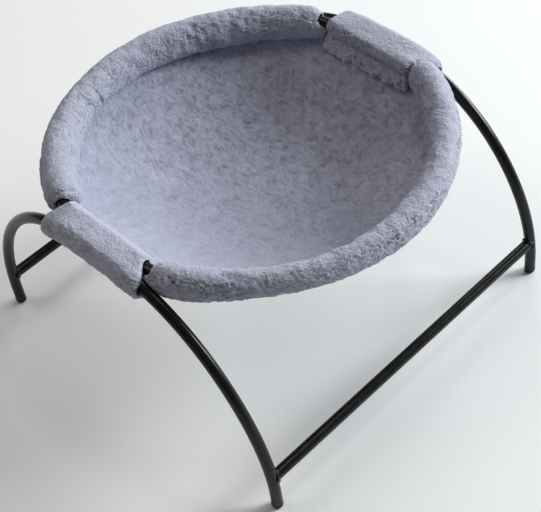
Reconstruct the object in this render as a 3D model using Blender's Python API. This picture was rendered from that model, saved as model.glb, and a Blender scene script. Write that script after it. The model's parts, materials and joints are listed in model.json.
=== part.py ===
"""A free-standing cat hammock: a round padded hammock held between two tubular arches.

Metres, +Z up. The origin is on the floor under the middle of the hammock. The front is -Y, the left is -X.
"""

import math

import bmesh
import bpy
from mathutils import Vector

# Tubes of the stand and the hoop
TUBE_RADIUS = 0.006
TUBE_WALL = 0.0012
BORE_RADIUS = TUBE_RADIUS - TUBE_WALL
TUBE_SIDES = 12
FIT_GAP = 0.0003
BUTT_GAP = FIT_GAP / 2

# Arches, one at each side, each from two bent legs that meet in the middle of the top bar
ARCH_X = 0.200
TOP_BAR_HALF = 0.022
UPPER_BEND_RADIUS = 0.172
LOWER_BEND_RADIUS = 0.218
BEND_TURN = math.radians(45)
FOOT_RUN = 0.020
BEND_STEPS = 6
BEND_DROP = UPPER_BEND_RADIUS * (1 - math.cos(BEND_TURN)) + LOWER_BEND_RADIUS * math.cos(BEND_TURN)
ARCH_TOP = BEND_DROP + FOOT_RUN
FOOT_Y = TOP_BAR_HALF + UPPER_BEND_RADIUS * math.sin(BEND_TURN) + LOWER_BEND_RADIUS * (1 - math.sin(BEND_TURN))
JOINER_LENGTH = 0.040
JOINER_CHAMFER = 0.0006

# Crossbars, welded between the legs
CROSSBAR_HEIGHT = 0.0446
CROSSBAR_END = ARCH_X - 0.0015
WELD_REACH = 0.004
WELD_RADIUS = TUBE_RADIUS + 0.0014

# Foot plugs
PLUG_HEAD = 0.0045
PLUG_FLAT_RADIUS = 0.0038
PLUG_ROUNDING = 0.0022
PLUG_DEPTH = 0.014
PLUG_RIBS = 3
PLUG_CORE_RADIUS = 0.0036

# Hoop that carries the hammock, flattened at both sides where it lies against the arches
HOOP_RADIUS = 0.1966
HOOP_SIDE_X = 0.1845
HOOP_BEND_RADIUS = 0.100
HOOP_HEIGHT = 0.2265
HOOP_STEPS = 26
HOOP_JOINER_LENGTH = 0.040
HOOP_CLEARANCE_REACH = 0.105
HOOP_CLEARANCE_STEPS = 14
TANGENT_STEP = 0.0005
BISECTIONS = 40

# Sling: a plush lining over a woven backing
SLING_INSET = 0.002
SLING_DROP = 0.0165
SLING_DEPTH = 0.060
SLING_FULLNESS = 2.6
LINING_THICKNESS = 0.004
BACKING_THICKNESS = 0.0015
LAYER_GAP = 0.0004
SLING_SPOKES = 48
SLING_RINGS = 7
RING_SPREAD = 0.8
FOLD_COUNT = 7
FOLD_HEIGHT = 0.0022

# Padded rim: a fleece cover over wadding, front and rear
COVER_ENDS_Y = {"front": {"left": 0.060, "right": 0.066}, "rear": {"left": 0.079, "right": 0.079}}
COVER_RADIUS = 0.0168
COVER_SWELL = 0.0024
SWELL_SHARE = 0.14
COVER_DROOP = 0.0010
COVER_END_ROUNDING = 0.014
COVER_END_SCALE = 0.66
COVER_STEPS = 30
WADDING_RADIUS = 0.0102
WADDING_END_INSET = 0.012
SOFT_CLEARANCE = 0.0008
REST_GAP = 0.0008
PRESSED_CLEARANCE = TUBE_RADIUS + 0.0016
PRESS_STEP = 0.98
PINCHES = {"front": (0.20, 0.55, 0.78), "rear": (0.24, 0.41, 0.67, 0.83)}
PINCH_DEPTH = 0.0016
PINCH_WIDTH = 0.030

# Wraps: fleece flaps that go round the hoop and the arch and close under the sling
WRAP_SPAN_AT_HOOP = {"left": (-0.050, 0.069), "right": (-0.055, 0.064)}
WRAP_SPAN_AT_ARCH = {"left": (-0.057, 0.080), "right": (-0.063, 0.062)}
WRAP_RADIUS = 0.0160
WRAP_THICKNESS = 0.004
WRAP_END_SCALE = 0.74
WRAP_END_ROUNDING = 0.010
WRAP_STEPS = 9
ROLL_STEPS = 4
ROLL_OVER_HOOP = (-38, 95)
ROLL_OVER_ARCH = (90, 230)
THROAT_OUT = 0.002
SKIRT_LENGTH = 0.036
SKIRT_GAP = 0.0014
SKIRT_HEM = 0.001
SKIRT_TOP_SHARES = (0.78, 0.58)
SKIRT_BASE_SHARES = (0.25, 0.53, 0.78)
TONGUE_ROOT_OUT = 0.008
TONGUE_START = 0.006
TONGUE_LENGTH = 0.028
STRIP_WIDTH = 0.016
STRIP_START = 0.008
STRIP_THICKNESS = 0.0012
STRIP_LENGTH = 0.100
STRIP_STEPS = 5

SIDES = {"left": -1, "right": 1}
ENDS = {"front": -1, "rear": 1}


def clear_scene():
    for obj in list(bpy.data.objects):
        bpy.data.objects.remove(obj)


def make_material(name, colour, roughness, metallic=0.0):
    material = bpy.data.materials.new(name)
    material.use_nodes = True
    shader = material.node_tree.nodes["Principled BSDF"]
    shader.inputs["Base Color"].default_value = (*colour, 1)
    shader.inputs["Roughness"].default_value = roughness
    shader.inputs["Metallic"].default_value = metallic
    return material


def make_object(name, bm, material):
    bmesh.ops.recalc_face_normals(bm, faces=bm.faces)
    mesh = bpy.data.meshes.new(name)
    bm.to_mesh(mesh)
    bm.free()
    mesh.materials.append(material)
    mesh.shade_smooth()
    mesh.set_sharp_from_angle(angle=math.radians(40))
    obj = bpy.data.objects.new(name, mesh)
    bpy.context.scene.collection.objects.link(obj)
    return obj


def make_cutter(name, bm, material):
    cutter = make_object(name, bm, material)
    cutter.hide_render = True
    cutter.display_type = "WIRE"
    return cutter


def cut(obj, cutter):
    modifier = obj.modifiers.new("cut " + cutter.name, "BOOLEAN")
    modifier.operation = "DIFFERENCE"
    modifier.object = cutter


def clearing(radius):
    """The corner radius of a polygonal bore whose flats are still this far from its axis."""
    return radius / math.cos(math.pi / TUBE_SIDES)


def inside(radius):
    """The corner radius of a pin that turns freely in a polygonal bore of this corner radius."""
    return radius * math.cos(math.pi / TUBE_SIDES) - FIT_GAP


def ring_at(centre, direction, across, radius):
    """A circle of points round a centreline that runs in this direction."""
    over = direction.cross(across).normalized()
    turns = [2 * math.pi * i / TUBE_SIDES for i in range(TUBE_SIDES)]
    return [centre + radius * (across * math.cos(turn) + over * math.sin(turn)) for turn in turns]


def join_rings(bm, rings):
    """Side faces through rings of equal length. Returns the rows of vertices."""
    rows = [[bm.verts.new(point) for point in ring] for ring in rings]
    for row, after in zip(rows, rows[1:]):
        for i, vertex in enumerate(row):
            j = (i + 1) % len(row)
            bm.faces.new((vertex, row[j], after[j], after[i]))
    return rows


def solid_through(rings):
    """A closed body through rings, with flat ends."""
    bm = bmesh.new()
    rows = join_rings(bm, rings)
    bm.faces.new(rows[0])
    bm.faces.new(rows[-1])
    return bm


def hollow_through(outer_rings, inner_rings):
    """A closed tube wall between outer and inner rings, open through the middle."""
    bm = bmesh.new()
    outer = join_rings(bm, outer_rings)
    inner = join_rings(bm, inner_rings)
    for skin, bore in ((outer[0], inner[0]), (outer[-1], inner[-1])):
        for i in range(len(skin)):
            j = (i + 1) % len(skin)
            bm.faces.new((skin[i], skin[j], bore[j], bore[i]))
    return bm


def arch_profile():
    """(y, z, heading) of one half of an arch, from the middle of the top bar down to the foot."""
    places = [(BUTT_GAP, ARCH_TOP, 0.0), (TOP_BAR_HALF, ARCH_TOP, 0.0)]
    for radius in (UPPER_BEND_RADIUS, LOWER_BEND_RADIUS):
        y, z, heading = places[-1]
        for step in range(1, BEND_STEPS + 1):
            now = heading + BEND_TURN * step / BEND_STEPS
            out = radius * (math.sin(now) - math.sin(heading))
            down = radius * (math.cos(heading) - math.cos(now))
            places.append((y + out, z - down, now))
    places.append((FOOT_Y, PLUG_HEAD + FIT_GAP, math.pi / 2))
    return places


def leg_stations(side, end):
    """(centre, direction) along one leg, from the top bar to the foot."""
    x, forward = SIDES[side] * ARCH_X, ENDS[end]
    return [
        (Vector((x, forward * y, z)), Vector((0, forward * math.cos(heading), -math.sin(heading))))
        for y, z, heading in arch_profile()
    ]


def make_leg(side, end, material):
    across = Vector((1, 0, 0))
    stations = leg_stations(side, end)
    outer = [ring_at(centre, direction, across, TUBE_RADIUS) for centre, direction in stations]
    inner = [ring_at(centre, direction, across, BORE_RADIUS) for centre, direction in stations]
    make_object(f"{end}_{side}_leg", hollow_through(outer, inner), material)


def make_arch_clearance(side, material):
    """The room that a whole arch takes, with the fitting gap round it."""
    front = [(centre, -direction) for centre, direction in reversed(leg_stations(side, "front"))]
    stations = front + leg_stations(side, "rear")
    radius = clearing(TUBE_RADIUS + FIT_GAP)
    rings = [ring_at(centre, direction, Vector((1, 0, 0)), radius) for centre, direction in stations]
    return make_cutter(f"{side}_arch_clearance", solid_through(rings), material)


def make_crossbar(end, arch_clearances, material):
    """A straight tube whose ends flare into the weld and are coped to the legs."""
    heights = [z for _, z, _ in arch_profile()]
    above = max(i for i, z in enumerate(heights) if z > CROSSBAR_HEIGHT)
    (y_high, z_high, _), (y_low, z_low, _) = arch_profile()[above : above + 2]
    share = (z_high - CROSSBAR_HEIGHT) / (z_high - z_low)
    y = ENDS[end] * (y_high + share * (y_low - y_high))
    weld_start = CROSSBAR_END - WELD_REACH
    weld_middle = CROSSBAR_END - WELD_REACH / 2
    weld_shoulder = TUBE_RADIUS + (WELD_RADIUS - TUBE_RADIUS) / 3
    half = [(weld_start, TUBE_RADIUS), (weld_middle, weld_shoulder), (CROSSBAR_END, WELD_RADIUS)]
    profile = [(-x, radius) for x, radius in reversed(half)] + half
    along = Vector((1, 0, 0))
    across = Vector((0, 1, 0))
    outer = [ring_at(Vector((x, y, CROSSBAR_HEIGHT)), along, across, radius) for x, radius in profile]
    inner = [ring_at(Vector((x, y, CROSSBAR_HEIGHT)), along, across, BORE_RADIUS) for x, _ in profile]
    crossbar = make_object(f"{end}_crossbar", hollow_through(outer, inner), material)
    for clearance in arch_clearances:
        cut(crossbar, clearance)


def make_joiner(name, centre, length, material):
    """A straight steel pin along Y that joins two tube ends from inside."""
    radius = inside(BORE_RADIUS)
    along = Vector((0, 1, 0))
    across = Vector((1, 0, 0))
    ends = [centre - along * length / 2, centre + along * length / 2]
    joiner = make_object(name, solid_through([ring_at(end, along, across, radius) for end in ends]), material)
    chamfer = joiner.modifiers.new("chamfer", "BEVEL")
    chamfer.width = JOINER_CHAMFER
    chamfer.segments = 1
    chamfer.limit_method = "ANGLE"
    chamfer.angle_limit = math.radians(60)


def plug_profile():
    """(radius, height) down the outside of a foot plug, from the top of its shank to the floor."""
    rib_radius = inside(BORE_RADIUS)
    pitch = PLUG_DEPTH / (PLUG_RIBS + 1)
    shank_foot = PLUG_HEAD
    places = [(0.0, shank_foot + PLUG_DEPTH), (PLUG_CORE_RADIUS, shank_foot + PLUG_DEPTH)]
    for rib in range(PLUG_RIBS, 0, -1):
        height = shank_foot + rib * pitch
        places += [(PLUG_CORE_RADIUS, height + pitch / 4), (rib_radius, height), (rib_radius, height - pitch / 4)]
        places += [(PLUG_CORE_RADIUS, height - pitch / 4)]
    places += [(PLUG_CORE_RADIUS, shank_foot), (TUBE_RADIUS, shank_foot)]
    places += [(TUBE_RADIUS, PLUG_ROUNDING), (TUBE_RADIUS - PLUG_ROUNDING / 3, PLUG_ROUNDING / 3)]
    return places + [(PLUG_FLAT_RADIUS, 0.0), (0.0, 0.0)]


def make_foot_plug(side, end, material):
    bm = bmesh.new()
    row = [bm.verts.new((radius, 0, height)) for radius, height in plug_profile()]
    for first, second in zip(row, row[1:]):
        bm.edges.new((first, second))
    mesh = bpy.data.meshes.new(f"{end}_{side}_foot_plug")
    bm.to_mesh(mesh)
    bm.free()
    mesh.materials.append(material)
    plug = bpy.data.objects.new(mesh.name, mesh)
    bpy.context.scene.collection.objects.link(plug)
    plug.location = (SIDES[side] * ARCH_X, ENDS[end] * FOOT_Y, 0)
    turned = plug.modifiers.new("turned", "SCREW")
    turned.steps = TUBE_SIDES
    turned.render_steps = TUBE_SIDES
    turned.use_merge_vertices = True
    turned.merge_threshold = 0.00001


def hoop_reach(angle):
    """Distance from the middle to the hoop's centreline, at an angle from the +X axis."""
    cosine, sine = abs(math.cos(angle)), abs(math.sin(angle))
    bend_x = HOOP_SIDE_X - HOOP_BEND_RADIUS
    bend_y = math.sqrt((HOOP_RADIUS - HOOP_BEND_RADIUS) ** 2 - bend_x**2)
    if sine * HOOP_SIDE_X <= bend_y * cosine:
        return HOOP_SIDE_X / cosine
    if sine * bend_x >= bend_y * cosine:
        return HOOP_RADIUS
    along = bend_x * cosine + bend_y * sine
    return along + math.sqrt(along**2 - bend_x**2 - bend_y**2 + HOOP_BEND_RADIUS**2)


def hoop_point(angle):
    reach = hoop_reach(angle)
    return Vector((reach * math.cos(angle), reach * math.sin(angle), HOOP_HEIGHT))


def hoop_direction(angle):
    return (hoop_point(angle + TANGENT_STEP) - hoop_point(angle - TANGENT_STEP)).normalized()


def side_angle(y):
    """The angle from the middle of a side at which the hoop has come this far along Y."""
    low, high = 0.0, math.pi / 2
    for _ in range(BISECTIONS):
        middle = (low + high) / 2
        if hoop_point(middle).y < y:
            low = middle
        else:
            high = middle
    return low


def half_angles(end, left_y, right_y, steps):
    """Angles over one half of the hoop, between these distances from the middle of the left and right sides."""
    first = math.pi - side_angle(left_y)
    sweep = first - side_angle(right_y)
    return [ENDS[end] * (first - sweep * step / steps) for step in range(steps + 1)]


def make_hoop_half(end, material):
    up = Vector((0, 0, 1))
    angles = half_angles(end, BUTT_GAP, BUTT_GAP, HOOP_STEPS)
    outer = [ring_at(hoop_point(a), hoop_direction(a), up, TUBE_RADIUS) for a in angles]
    inner = [ring_at(hoop_point(a), hoop_direction(a), up, BORE_RADIUS) for a in angles]
    make_object(f"{end}_hoop_half", hollow_through(outer, inner), material)


def make_hoop_clearance(side, material):
    """The room that one side of the hoop takes, with the fitting gap round it."""
    reach = side_angle(HOOP_CLEARANCE_REACH)
    middle = 0.0 if side == "right" else math.pi
    shares = [step / HOOP_CLEARANCE_STEPS for step in range(HOOP_CLEARANCE_STEPS + 1)]
    angles = [middle + reach * (2 * share - 1) for share in shares]
    radius = clearing(TUBE_RADIUS + SOFT_CLEARANCE)
    rings = [ring_at(hoop_point(a), hoop_direction(a), Vector((0, 0, 1)), radius) for a in angles]
    return make_cutter(f"{side}_hoop_clearance", solid_through(rings), material)


def sling_height(x, y):
    """Height of the lining's upper face."""
    angle = math.atan2(y, x)
    share = math.hypot(x, y) / (hoop_reach(angle) - SLING_INSET)
    edge = HOOP_HEIGHT - SLING_DROP
    if share >= 1:
        return edge
    fold = FOLD_HEIGHT * math.cos(FOLD_COUNT * angle) * 4 * share**3 * (1 - share)
    return edge - SLING_DEPTH * (1 - share**SLING_FULLNESS) + fold


def make_sling_layer(name, offset, thickness, material):
    """One layer of the sling: a bowl of this thickness, this far under the lining's upper face."""
    bm = bmesh.new()
    centre = sling_height(0, 0) - offset
    faces = []
    for depth in (0, thickness):
        pole = bm.verts.new((0, 0, centre - depth))
        rows = []
        for ring in range(1, SLING_RINGS + 1):
            share = (ring / SLING_RINGS) ** RING_SPREAD
            row = []
            for spoke in range(SLING_SPOKES):
                angle = 2 * math.pi * spoke / SLING_SPOKES
                reach = share * (hoop_reach(angle) - SLING_INSET)
                x, y = reach * math.cos(angle), reach * math.sin(angle)
                row.append(bm.verts.new((x, y, sling_height(x, y) - offset - depth)))
            rows.append(row)
        for i in range(SLING_SPOKES):
            bm.faces.new((pole, rows[0][i], rows[0][i - 1]))
            for row, after in zip(rows, rows[1:]):
                bm.faces.new((row[i], row[i - 1], after[i - 1], after[i]))
        faces.append(rows[-1])
    top, bottom = faces
    for i in range(SLING_SPOKES):
        bm.faces.new((top[i], top[i - 1], bottom[i - 1], bottom[i]))
    make_object(name, bm, material)


def rounded_end(distance, rounding, scale):
    """A factor that draws a roll in towards its end."""
    if distance >= rounding:
        return 1.0
    left = 1 - distance / rounding
    return scale + (1 - scale) * math.sqrt(1 - left**2)


def cover_radius(end, share, length):
    """Radius of the padded rim along its length: fuller near its ends, with a few soft pinches."""
    swell = COVER_SWELL * sum(math.exp(-((away / SWELL_SHARE) ** 2)) for away in (share, 1 - share))
    pinch = sum(math.exp(-(((share - place) * length / PINCH_WIDTH) ** 2)) for place in PINCHES[end])
    slack = min(share, 1 - share) * length
    drawn_in = rounded_end(slack, COVER_END_ROUNDING, COVER_END_SCALE)
    return (COVER_RADIUS + swell - PINCH_DEPTH * pinch) * drawn_in


def arch_height(y):
    """Height of the arch's centreline at this distance from its middle, on the top bar and the upper bend."""
    past = min(max(0.0, abs(y) - TOP_BAR_HALF), UPPER_BEND_RADIUS)
    return ARCH_TOP - UPPER_BEND_RADIUS + math.sqrt(UPPER_BEND_RADIUS**2 - past**2)


def distance_to_arch(point):
    past = min(max(0.0, abs(point.y) - TOP_BAR_HALF), UPPER_BEND_RADIUS)
    level = math.sqrt(1 - (past / UPPER_BEND_RADIUS) ** 2)
    return math.hypot(abs(point.x) - ARCH_X, (point.z - arch_height(point.y)) * level)


def roll_ring(angle, radius):
    """A ring of the padded rim, pressed in by the arch and flat where it rests on the edge of the sling."""
    centre = hoop_point(angle) - Vector((0, 0, COVER_DROOP))
    ring = ring_at(centre, hoop_direction(angle), Vector((0, 0, 1)), radius)
    pressed = []
    for point in ring:
        while distance_to_arch(point) < PRESSED_CLEARANCE:
            point = centre + (point - centre) * PRESS_STEP
        if math.hypot(point.x, point.y) < hoop_reach(angle) + SLING_INSET:
            point.z = max(point.z, sling_height(point.x, point.y) + REST_GAP)
        pressed.append(point)
    return pressed


def make_rim_cover(end, material):
    left_y, right_y = COVER_ENDS_Y[end].values()
    length = math.pi * HOOP_RADIUS - left_y - right_y
    angles = half_angles(end, left_y, right_y, COVER_STEPS)
    # The end rings are close together, so that the ends are round.
    first, last = angles[0], angles[-1]
    turn = (angles[1] - angles[0]) / 4
    angles = [first, first + turn] + angles[1:-1] + [last - turn, last]
    outer, inner = [], []
    for angle in angles:
        share = (angle - first) / (last - first)
        slack = min(share, 1 - share) * length
        outer.append(roll_ring(angle, cover_radius(end, share, length)))
        snug = clearing(TUBE_RADIUS + SOFT_CLEARANCE)
        wide = clearing(WADDING_RADIUS + SOFT_CLEARANCE)
        bore = snug + (wide - snug) * min(1, slack / (WADDING_END_INSET / 2))
        inner.append(ring_at(hoop_point(angle), hoop_direction(angle), Vector((0, 0, 1)), bore))
    make_object(f"{end}_rim_cover", hollow_through(outer, inner), material)


def make_rim_wadding(end, material):
    up = Vector((0, 0, 1))
    left_y, right_y = (y + WADDING_END_INSET for y in COVER_ENDS_Y[end].values())
    angles = half_angles(end, left_y, right_y, COVER_STEPS * 2 // 3)
    bore = clearing(TUBE_RADIUS + SOFT_CLEARANCE)
    outer = [ring_at(hoop_point(a), hoop_direction(a), up, WADDING_RADIUS) for a in angles]
    inner = [ring_at(hoop_point(a), hoop_direction(a), up, bore) for a in angles]
    make_object(f"{end}_rim_wadding", hollow_through(outer, inner), material)


def hoop_side_x(y):
    return abs(hoop_point(side_angle(abs(y))).x)


def wrap_outline(side, y, arch_y, scale):
    """Section of a wrap: a skirt on the lining, a roll over hoop and arch, a tongue under the sling.

    Its places are distances inboard of the hoop, with heights. It lies at y along the hoop and slants to
    arch_y along the arch."""
    sign = SIDES[side]
    hoop_x = hoop_side_x(y)
    arch_out = ARCH_X - hoop_x
    radius = WRAP_RADIUS * scale
    edge = HOOP_HEIGHT - SLING_DROP
    strips = LINING_THICKNESS + BACKING_THICKNESS + 2 * STRIP_THICKNESS + 4 * LAYER_GAP
    tongue_top = -strips - LAYER_GAP
    tongue_base = tongue_top - WRAP_THICKNESS
    skirt_top = SKIRT_GAP + WRAP_THICKNESS
    tongue_places = (TONGUE_START, (TONGUE_START + TONGUE_LENGTH) / 2, TONGUE_LENGTH)
    base_places = [share * SKIRT_LENGTH for share in SKIRT_BASE_SHARES]

    def on_sling(inboard, above):
        return (inboard, sling_height(sign * (hoop_x - inboard), y) + above)

    def roll(out, height, degrees):
        first, last = (math.radians(angle) for angle in degrees)
        turns = [first + (last - first) * step / ROLL_STEPS for step in range(ROLL_STEPS + 1)]
        return [(radius * math.cos(turn) - out, height + radius * math.sin(turn)) for turn in turns]

    outline = [on_sling(SKIRT_LENGTH, SKIRT_GAP), on_sling(SKIRT_LENGTH, skirt_top - SKIRT_HEM)]
    outline += [on_sling(share * SKIRT_LENGTH, skirt_top) for share in SKIRT_TOP_SHARES]
    outline += roll(0, HOOP_HEIGHT, ROLL_OVER_HOOP)
    outline += roll(arch_out, arch_height(arch_y), ROLL_OVER_ARCH)
    outline += [(-TONGUE_ROOT_OUT, edge + tongue_base)]
    outline += [on_sling(inboard, tongue_base) for inboard in tongue_places]
    outline += [on_sling(inboard, tongue_top) for inboard in reversed(tongue_places)]
    outline += [(-THROAT_OUT, edge + tongue_top), (-THROAT_OUT, edge + SKIRT_GAP)]
    outline += [on_sling(inboard, SKIRT_GAP) for inboard in (SLING_INSET, *base_places)]
    slant = [min(1, max(0, -inboard / arch_out)) for inboard, _ in outline]
    return [
        Vector((sign * (hoop_x - inboard), y + share * (arch_y - y), z))
        for share, (inboard, z) in zip(slant, outline)
    ]


def make_wrap(side, clearances, material):
    front_y, rear_y = WRAP_SPAN_AT_HOOP[side]
    arch_front_y, arch_rear_y = WRAP_SPAN_AT_ARCH[side]
    rings = []
    for step in range(WRAP_STEPS + 1):
        # The sections crowd towards the ends, so that the ends are round.
        share = (1 - math.cos(math.pi * step / WRAP_STEPS)) / 2
        y = front_y + share * (rear_y - front_y)
        arch_y = arch_front_y + share * (arch_rear_y - arch_front_y)
        scale = rounded_end(min(y - front_y, rear_y - y), WRAP_END_ROUNDING, WRAP_END_SCALE)
        rings.append(wrap_outline(side, y, arch_y, scale))
    wrap = make_object(f"{side}_wrap", solid_through(rings), material)
    for clearance in clearances:
        cut(wrap, clearance)


def make_closure_strip(name, side, offset, material):
    """One half of the hook-and-loop closure, this far under the lining's upper face."""
    sign = SIDES[side]
    rings = []
    for step in range(STRIP_STEPS + 1):
        y = sum(WRAP_SPAN_AT_HOOP[side]) / 2 + STRIP_LENGTH * (step / STRIP_STEPS - 0.5)
        hoop_x = hoop_side_x(y)
        near, far = STRIP_START, STRIP_START + STRIP_WIDTH
        middle = (near + far) / 2
        section = [(near, 0), (middle, 0), (far, 0)]
        section += [(far, STRIP_THICKNESS), (middle, STRIP_THICKNESS), (near, STRIP_THICKNESS)]
        ring = []
        for inboard, depth in section:
            x = sign * (hoop_x - inboard)
            ring.append(Vector((x, y, sling_height(x, y) - offset - depth)))
        rings.append(ring)
    make_object(name, solid_through(rings), material)


def build():
    clear_scene()
    coat = make_material("black powder coat", (0.014, 0.014, 0.015), 0.36)
    steel = make_material("zinc plated steel", (0.55, 0.56, 0.58), 0.35, 1.0)
    plastic = make_material("black plastic", (0.02, 0.02, 0.021), 0.5)
    fleece = make_material("grey curly fleece", (0.40, 0.41, 0.48), 0.95)
    plush = make_material("grey plush", (0.33, 0.34, 0.40), 0.95)
    woven = make_material("grey woven backing", (0.20, 0.20, 0.22), 0.85)
    wadding = make_material("white wadding", (0.80, 0.80, 0.78), 1.0)
    hook_tape = make_material("hook tape", (0.16, 0.16, 0.18), 0.7)
    loop_tape = make_material("loop tape", (0.24, 0.24, 0.27), 0.9)

    arch_clearances = {side: make_arch_clearance(side, coat) for side in SIDES}
    hoop_clearances = {side: make_hoop_clearance(side, coat) for side in SIDES}

    for end in ENDS:
        for side in SIDES:
            make_leg(side, end, coat)
            make_foot_plug(side, end, plastic)
        make_crossbar(end, arch_clearances.values(), coat)
        make_hoop_half(end, coat)
        make_rim_wadding(end, wadding)
        make_rim_cover(end, fleece)

    make_sling_layer("sling_lining", 0, LINING_THICKNESS, plush)
    backing_offset = LINING_THICKNESS + LAYER_GAP
    make_sling_layer("sling_backing", backing_offset, BACKING_THICKNESS, woven)

    loop_offset = backing_offset + BACKING_THICKNESS + LAYER_GAP
    hook_offset = loop_offset + STRIP_THICKNESS + LAYER_GAP
    for side, sign in SIDES.items():
        make_joiner(f"{side}_arch_joiner", Vector((sign * ARCH_X, 0, ARCH_TOP)), JOINER_LENGTH, steel)
        hoop_side = Vector((sign * HOOP_SIDE_X, 0, HOOP_HEIGHT))
        make_joiner(f"{side}_hoop_joiner", hoop_side, HOOP_JOINER_LENGTH, steel)
        make_wrap(side, (arch_clearances[side], hoop_clearances[side]), fleece)
        make_closure_strip(f"{side}_loop_strip", side, loop_offset, loop_tape)
        make_closure_strip(f"{side}_hook_strip", side, hook_offset, hook_tape)


build()
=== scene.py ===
"""The looks of the cat hammock chair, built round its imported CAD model. Metres, +Z up, front -Y, left -X."""

import itertools
import json
import math

import bpy
import numpy as np
from mathutils import Matrix, Vector


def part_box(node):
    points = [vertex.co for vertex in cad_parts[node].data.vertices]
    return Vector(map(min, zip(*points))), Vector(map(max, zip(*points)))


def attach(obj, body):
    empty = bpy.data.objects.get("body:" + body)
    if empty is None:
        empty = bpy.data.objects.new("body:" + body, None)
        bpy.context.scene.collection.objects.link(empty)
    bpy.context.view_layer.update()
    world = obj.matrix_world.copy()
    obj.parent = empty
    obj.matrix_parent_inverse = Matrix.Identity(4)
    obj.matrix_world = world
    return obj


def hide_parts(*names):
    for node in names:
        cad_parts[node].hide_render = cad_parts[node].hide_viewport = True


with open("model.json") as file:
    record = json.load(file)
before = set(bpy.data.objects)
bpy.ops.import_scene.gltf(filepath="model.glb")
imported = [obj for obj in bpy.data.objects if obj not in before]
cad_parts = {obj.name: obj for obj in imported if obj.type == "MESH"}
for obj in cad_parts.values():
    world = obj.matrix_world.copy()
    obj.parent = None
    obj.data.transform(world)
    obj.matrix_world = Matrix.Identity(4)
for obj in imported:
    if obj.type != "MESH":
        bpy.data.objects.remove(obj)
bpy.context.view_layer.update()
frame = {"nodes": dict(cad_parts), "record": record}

SIDES = {"left": -1, "right": 1}
ENDS = {"front": -1, "rear": 1}
ALONG_X = np.array((1.0, 0.0, 0.0))
ALONG_Y = np.array((0.0, 1.0, 0.0))
UP = np.array((0.0, 0.0, 1.0))


def middle_of(node):
    low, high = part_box(node)
    return (low + high) / 2


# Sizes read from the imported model
LEG_LOW, LEG_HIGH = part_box("front_right_leg")
TUBE_RADIUS = (LEG_HIGH.x - LEG_LOW.x) / 2
ARCH_X = (LEG_HIGH.x + LEG_LOW.x) / 2
ARCH_TOP = LEG_HIGH.z - TUBE_RADIUS
FOOT_Y = middle_of("rear_right_foot_plug").y
PLUG_TOP = LEG_LOW.z
CROSSBAR = middle_of("rear_crossbar")
HOOP_LOW, HOOP_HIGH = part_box("rear_hoop_half")
HOOP_RADIUS = HOOP_HIGH.y - TUBE_RADIUS
HOOP_SIDE_X = HOOP_HIGH.x - TUBE_RADIUS
HOOP_HEIGHT = (HOOP_LOW.z + HOOP_HIGH.z) / 2
SLING_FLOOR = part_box("sling_lining")[0].z

# Stand
BORE_RADIUS = TUBE_RADIUS - 0.0012
TOP_BAR_HALF = 0.022
UPPER_BEND_RADIUS = 0.172
BEND_TURN = math.radians(45)
TUBE_SIDES = 40
TUBE_STEP = 0.004
TUBE_EDGE = math.radians(50)
BUTT_GAP = 0.00015
CROSSBAR_RINGS = (-1.0, *np.linspace(-0.96, 0.96, 40), 1.0)
COPE_CLEARANCE = 0.0012
BEAD_RADIUS = 0.0017
BEAD_RING = 1.02 * TUBE_RADIUS
BEAD_SIDES = 12
BEAD_RIPPLES = 16
RIPPLE_STEPS = 8
RIPPLE_DEPTH = 0.10

# Foot plugs: the domed head, its lip as radii and heights above the tube's end, then one rib of the shank as
# shares of its pitch and radii, and the shank's end as radii and heights above it
FOOT_FLAT = 0.0038
FOOT_DOME = (0.0020, 0.0022)
FOOT_LIP = ((0.0061, -0.0012), (0.0062, -0.0007), (0.0060, -0.0003), (0.0046, -0.0003))
RIB_LINE = ((0.2, 0.0036), (0.5, 0.0036), (0.75, 0.0043), (1.0, 0.0043))
RIB_COUNT = 3
SHANK_END = ((0.0036, -0.0004), (0.0032, 0.0))
FOOT_SIDES = 48
FOOT_EDGE = math.radians(35)

# Hoop and sling
HOOP_BEND_RADIUS = 0.100
HOOP_SAMPLES = 4001
SLING_INSET = 0.002
SLING_EDGE = HOOP_HEIGHT - 0.0165
SLING_FULLNESS = 2.6
LINING_THICKNESS = 0.004
BACKING_THICKNESS = 0.0015
LAYER_GAP = 0.0004
SLING_CELLS = 220
BACKING_CELLS = 150
FOLD_DEPTHS = (0.0028, 0.0013)
FOLDS_AROUND = 3.2
FINE_FOLDS = 2.3

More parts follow.
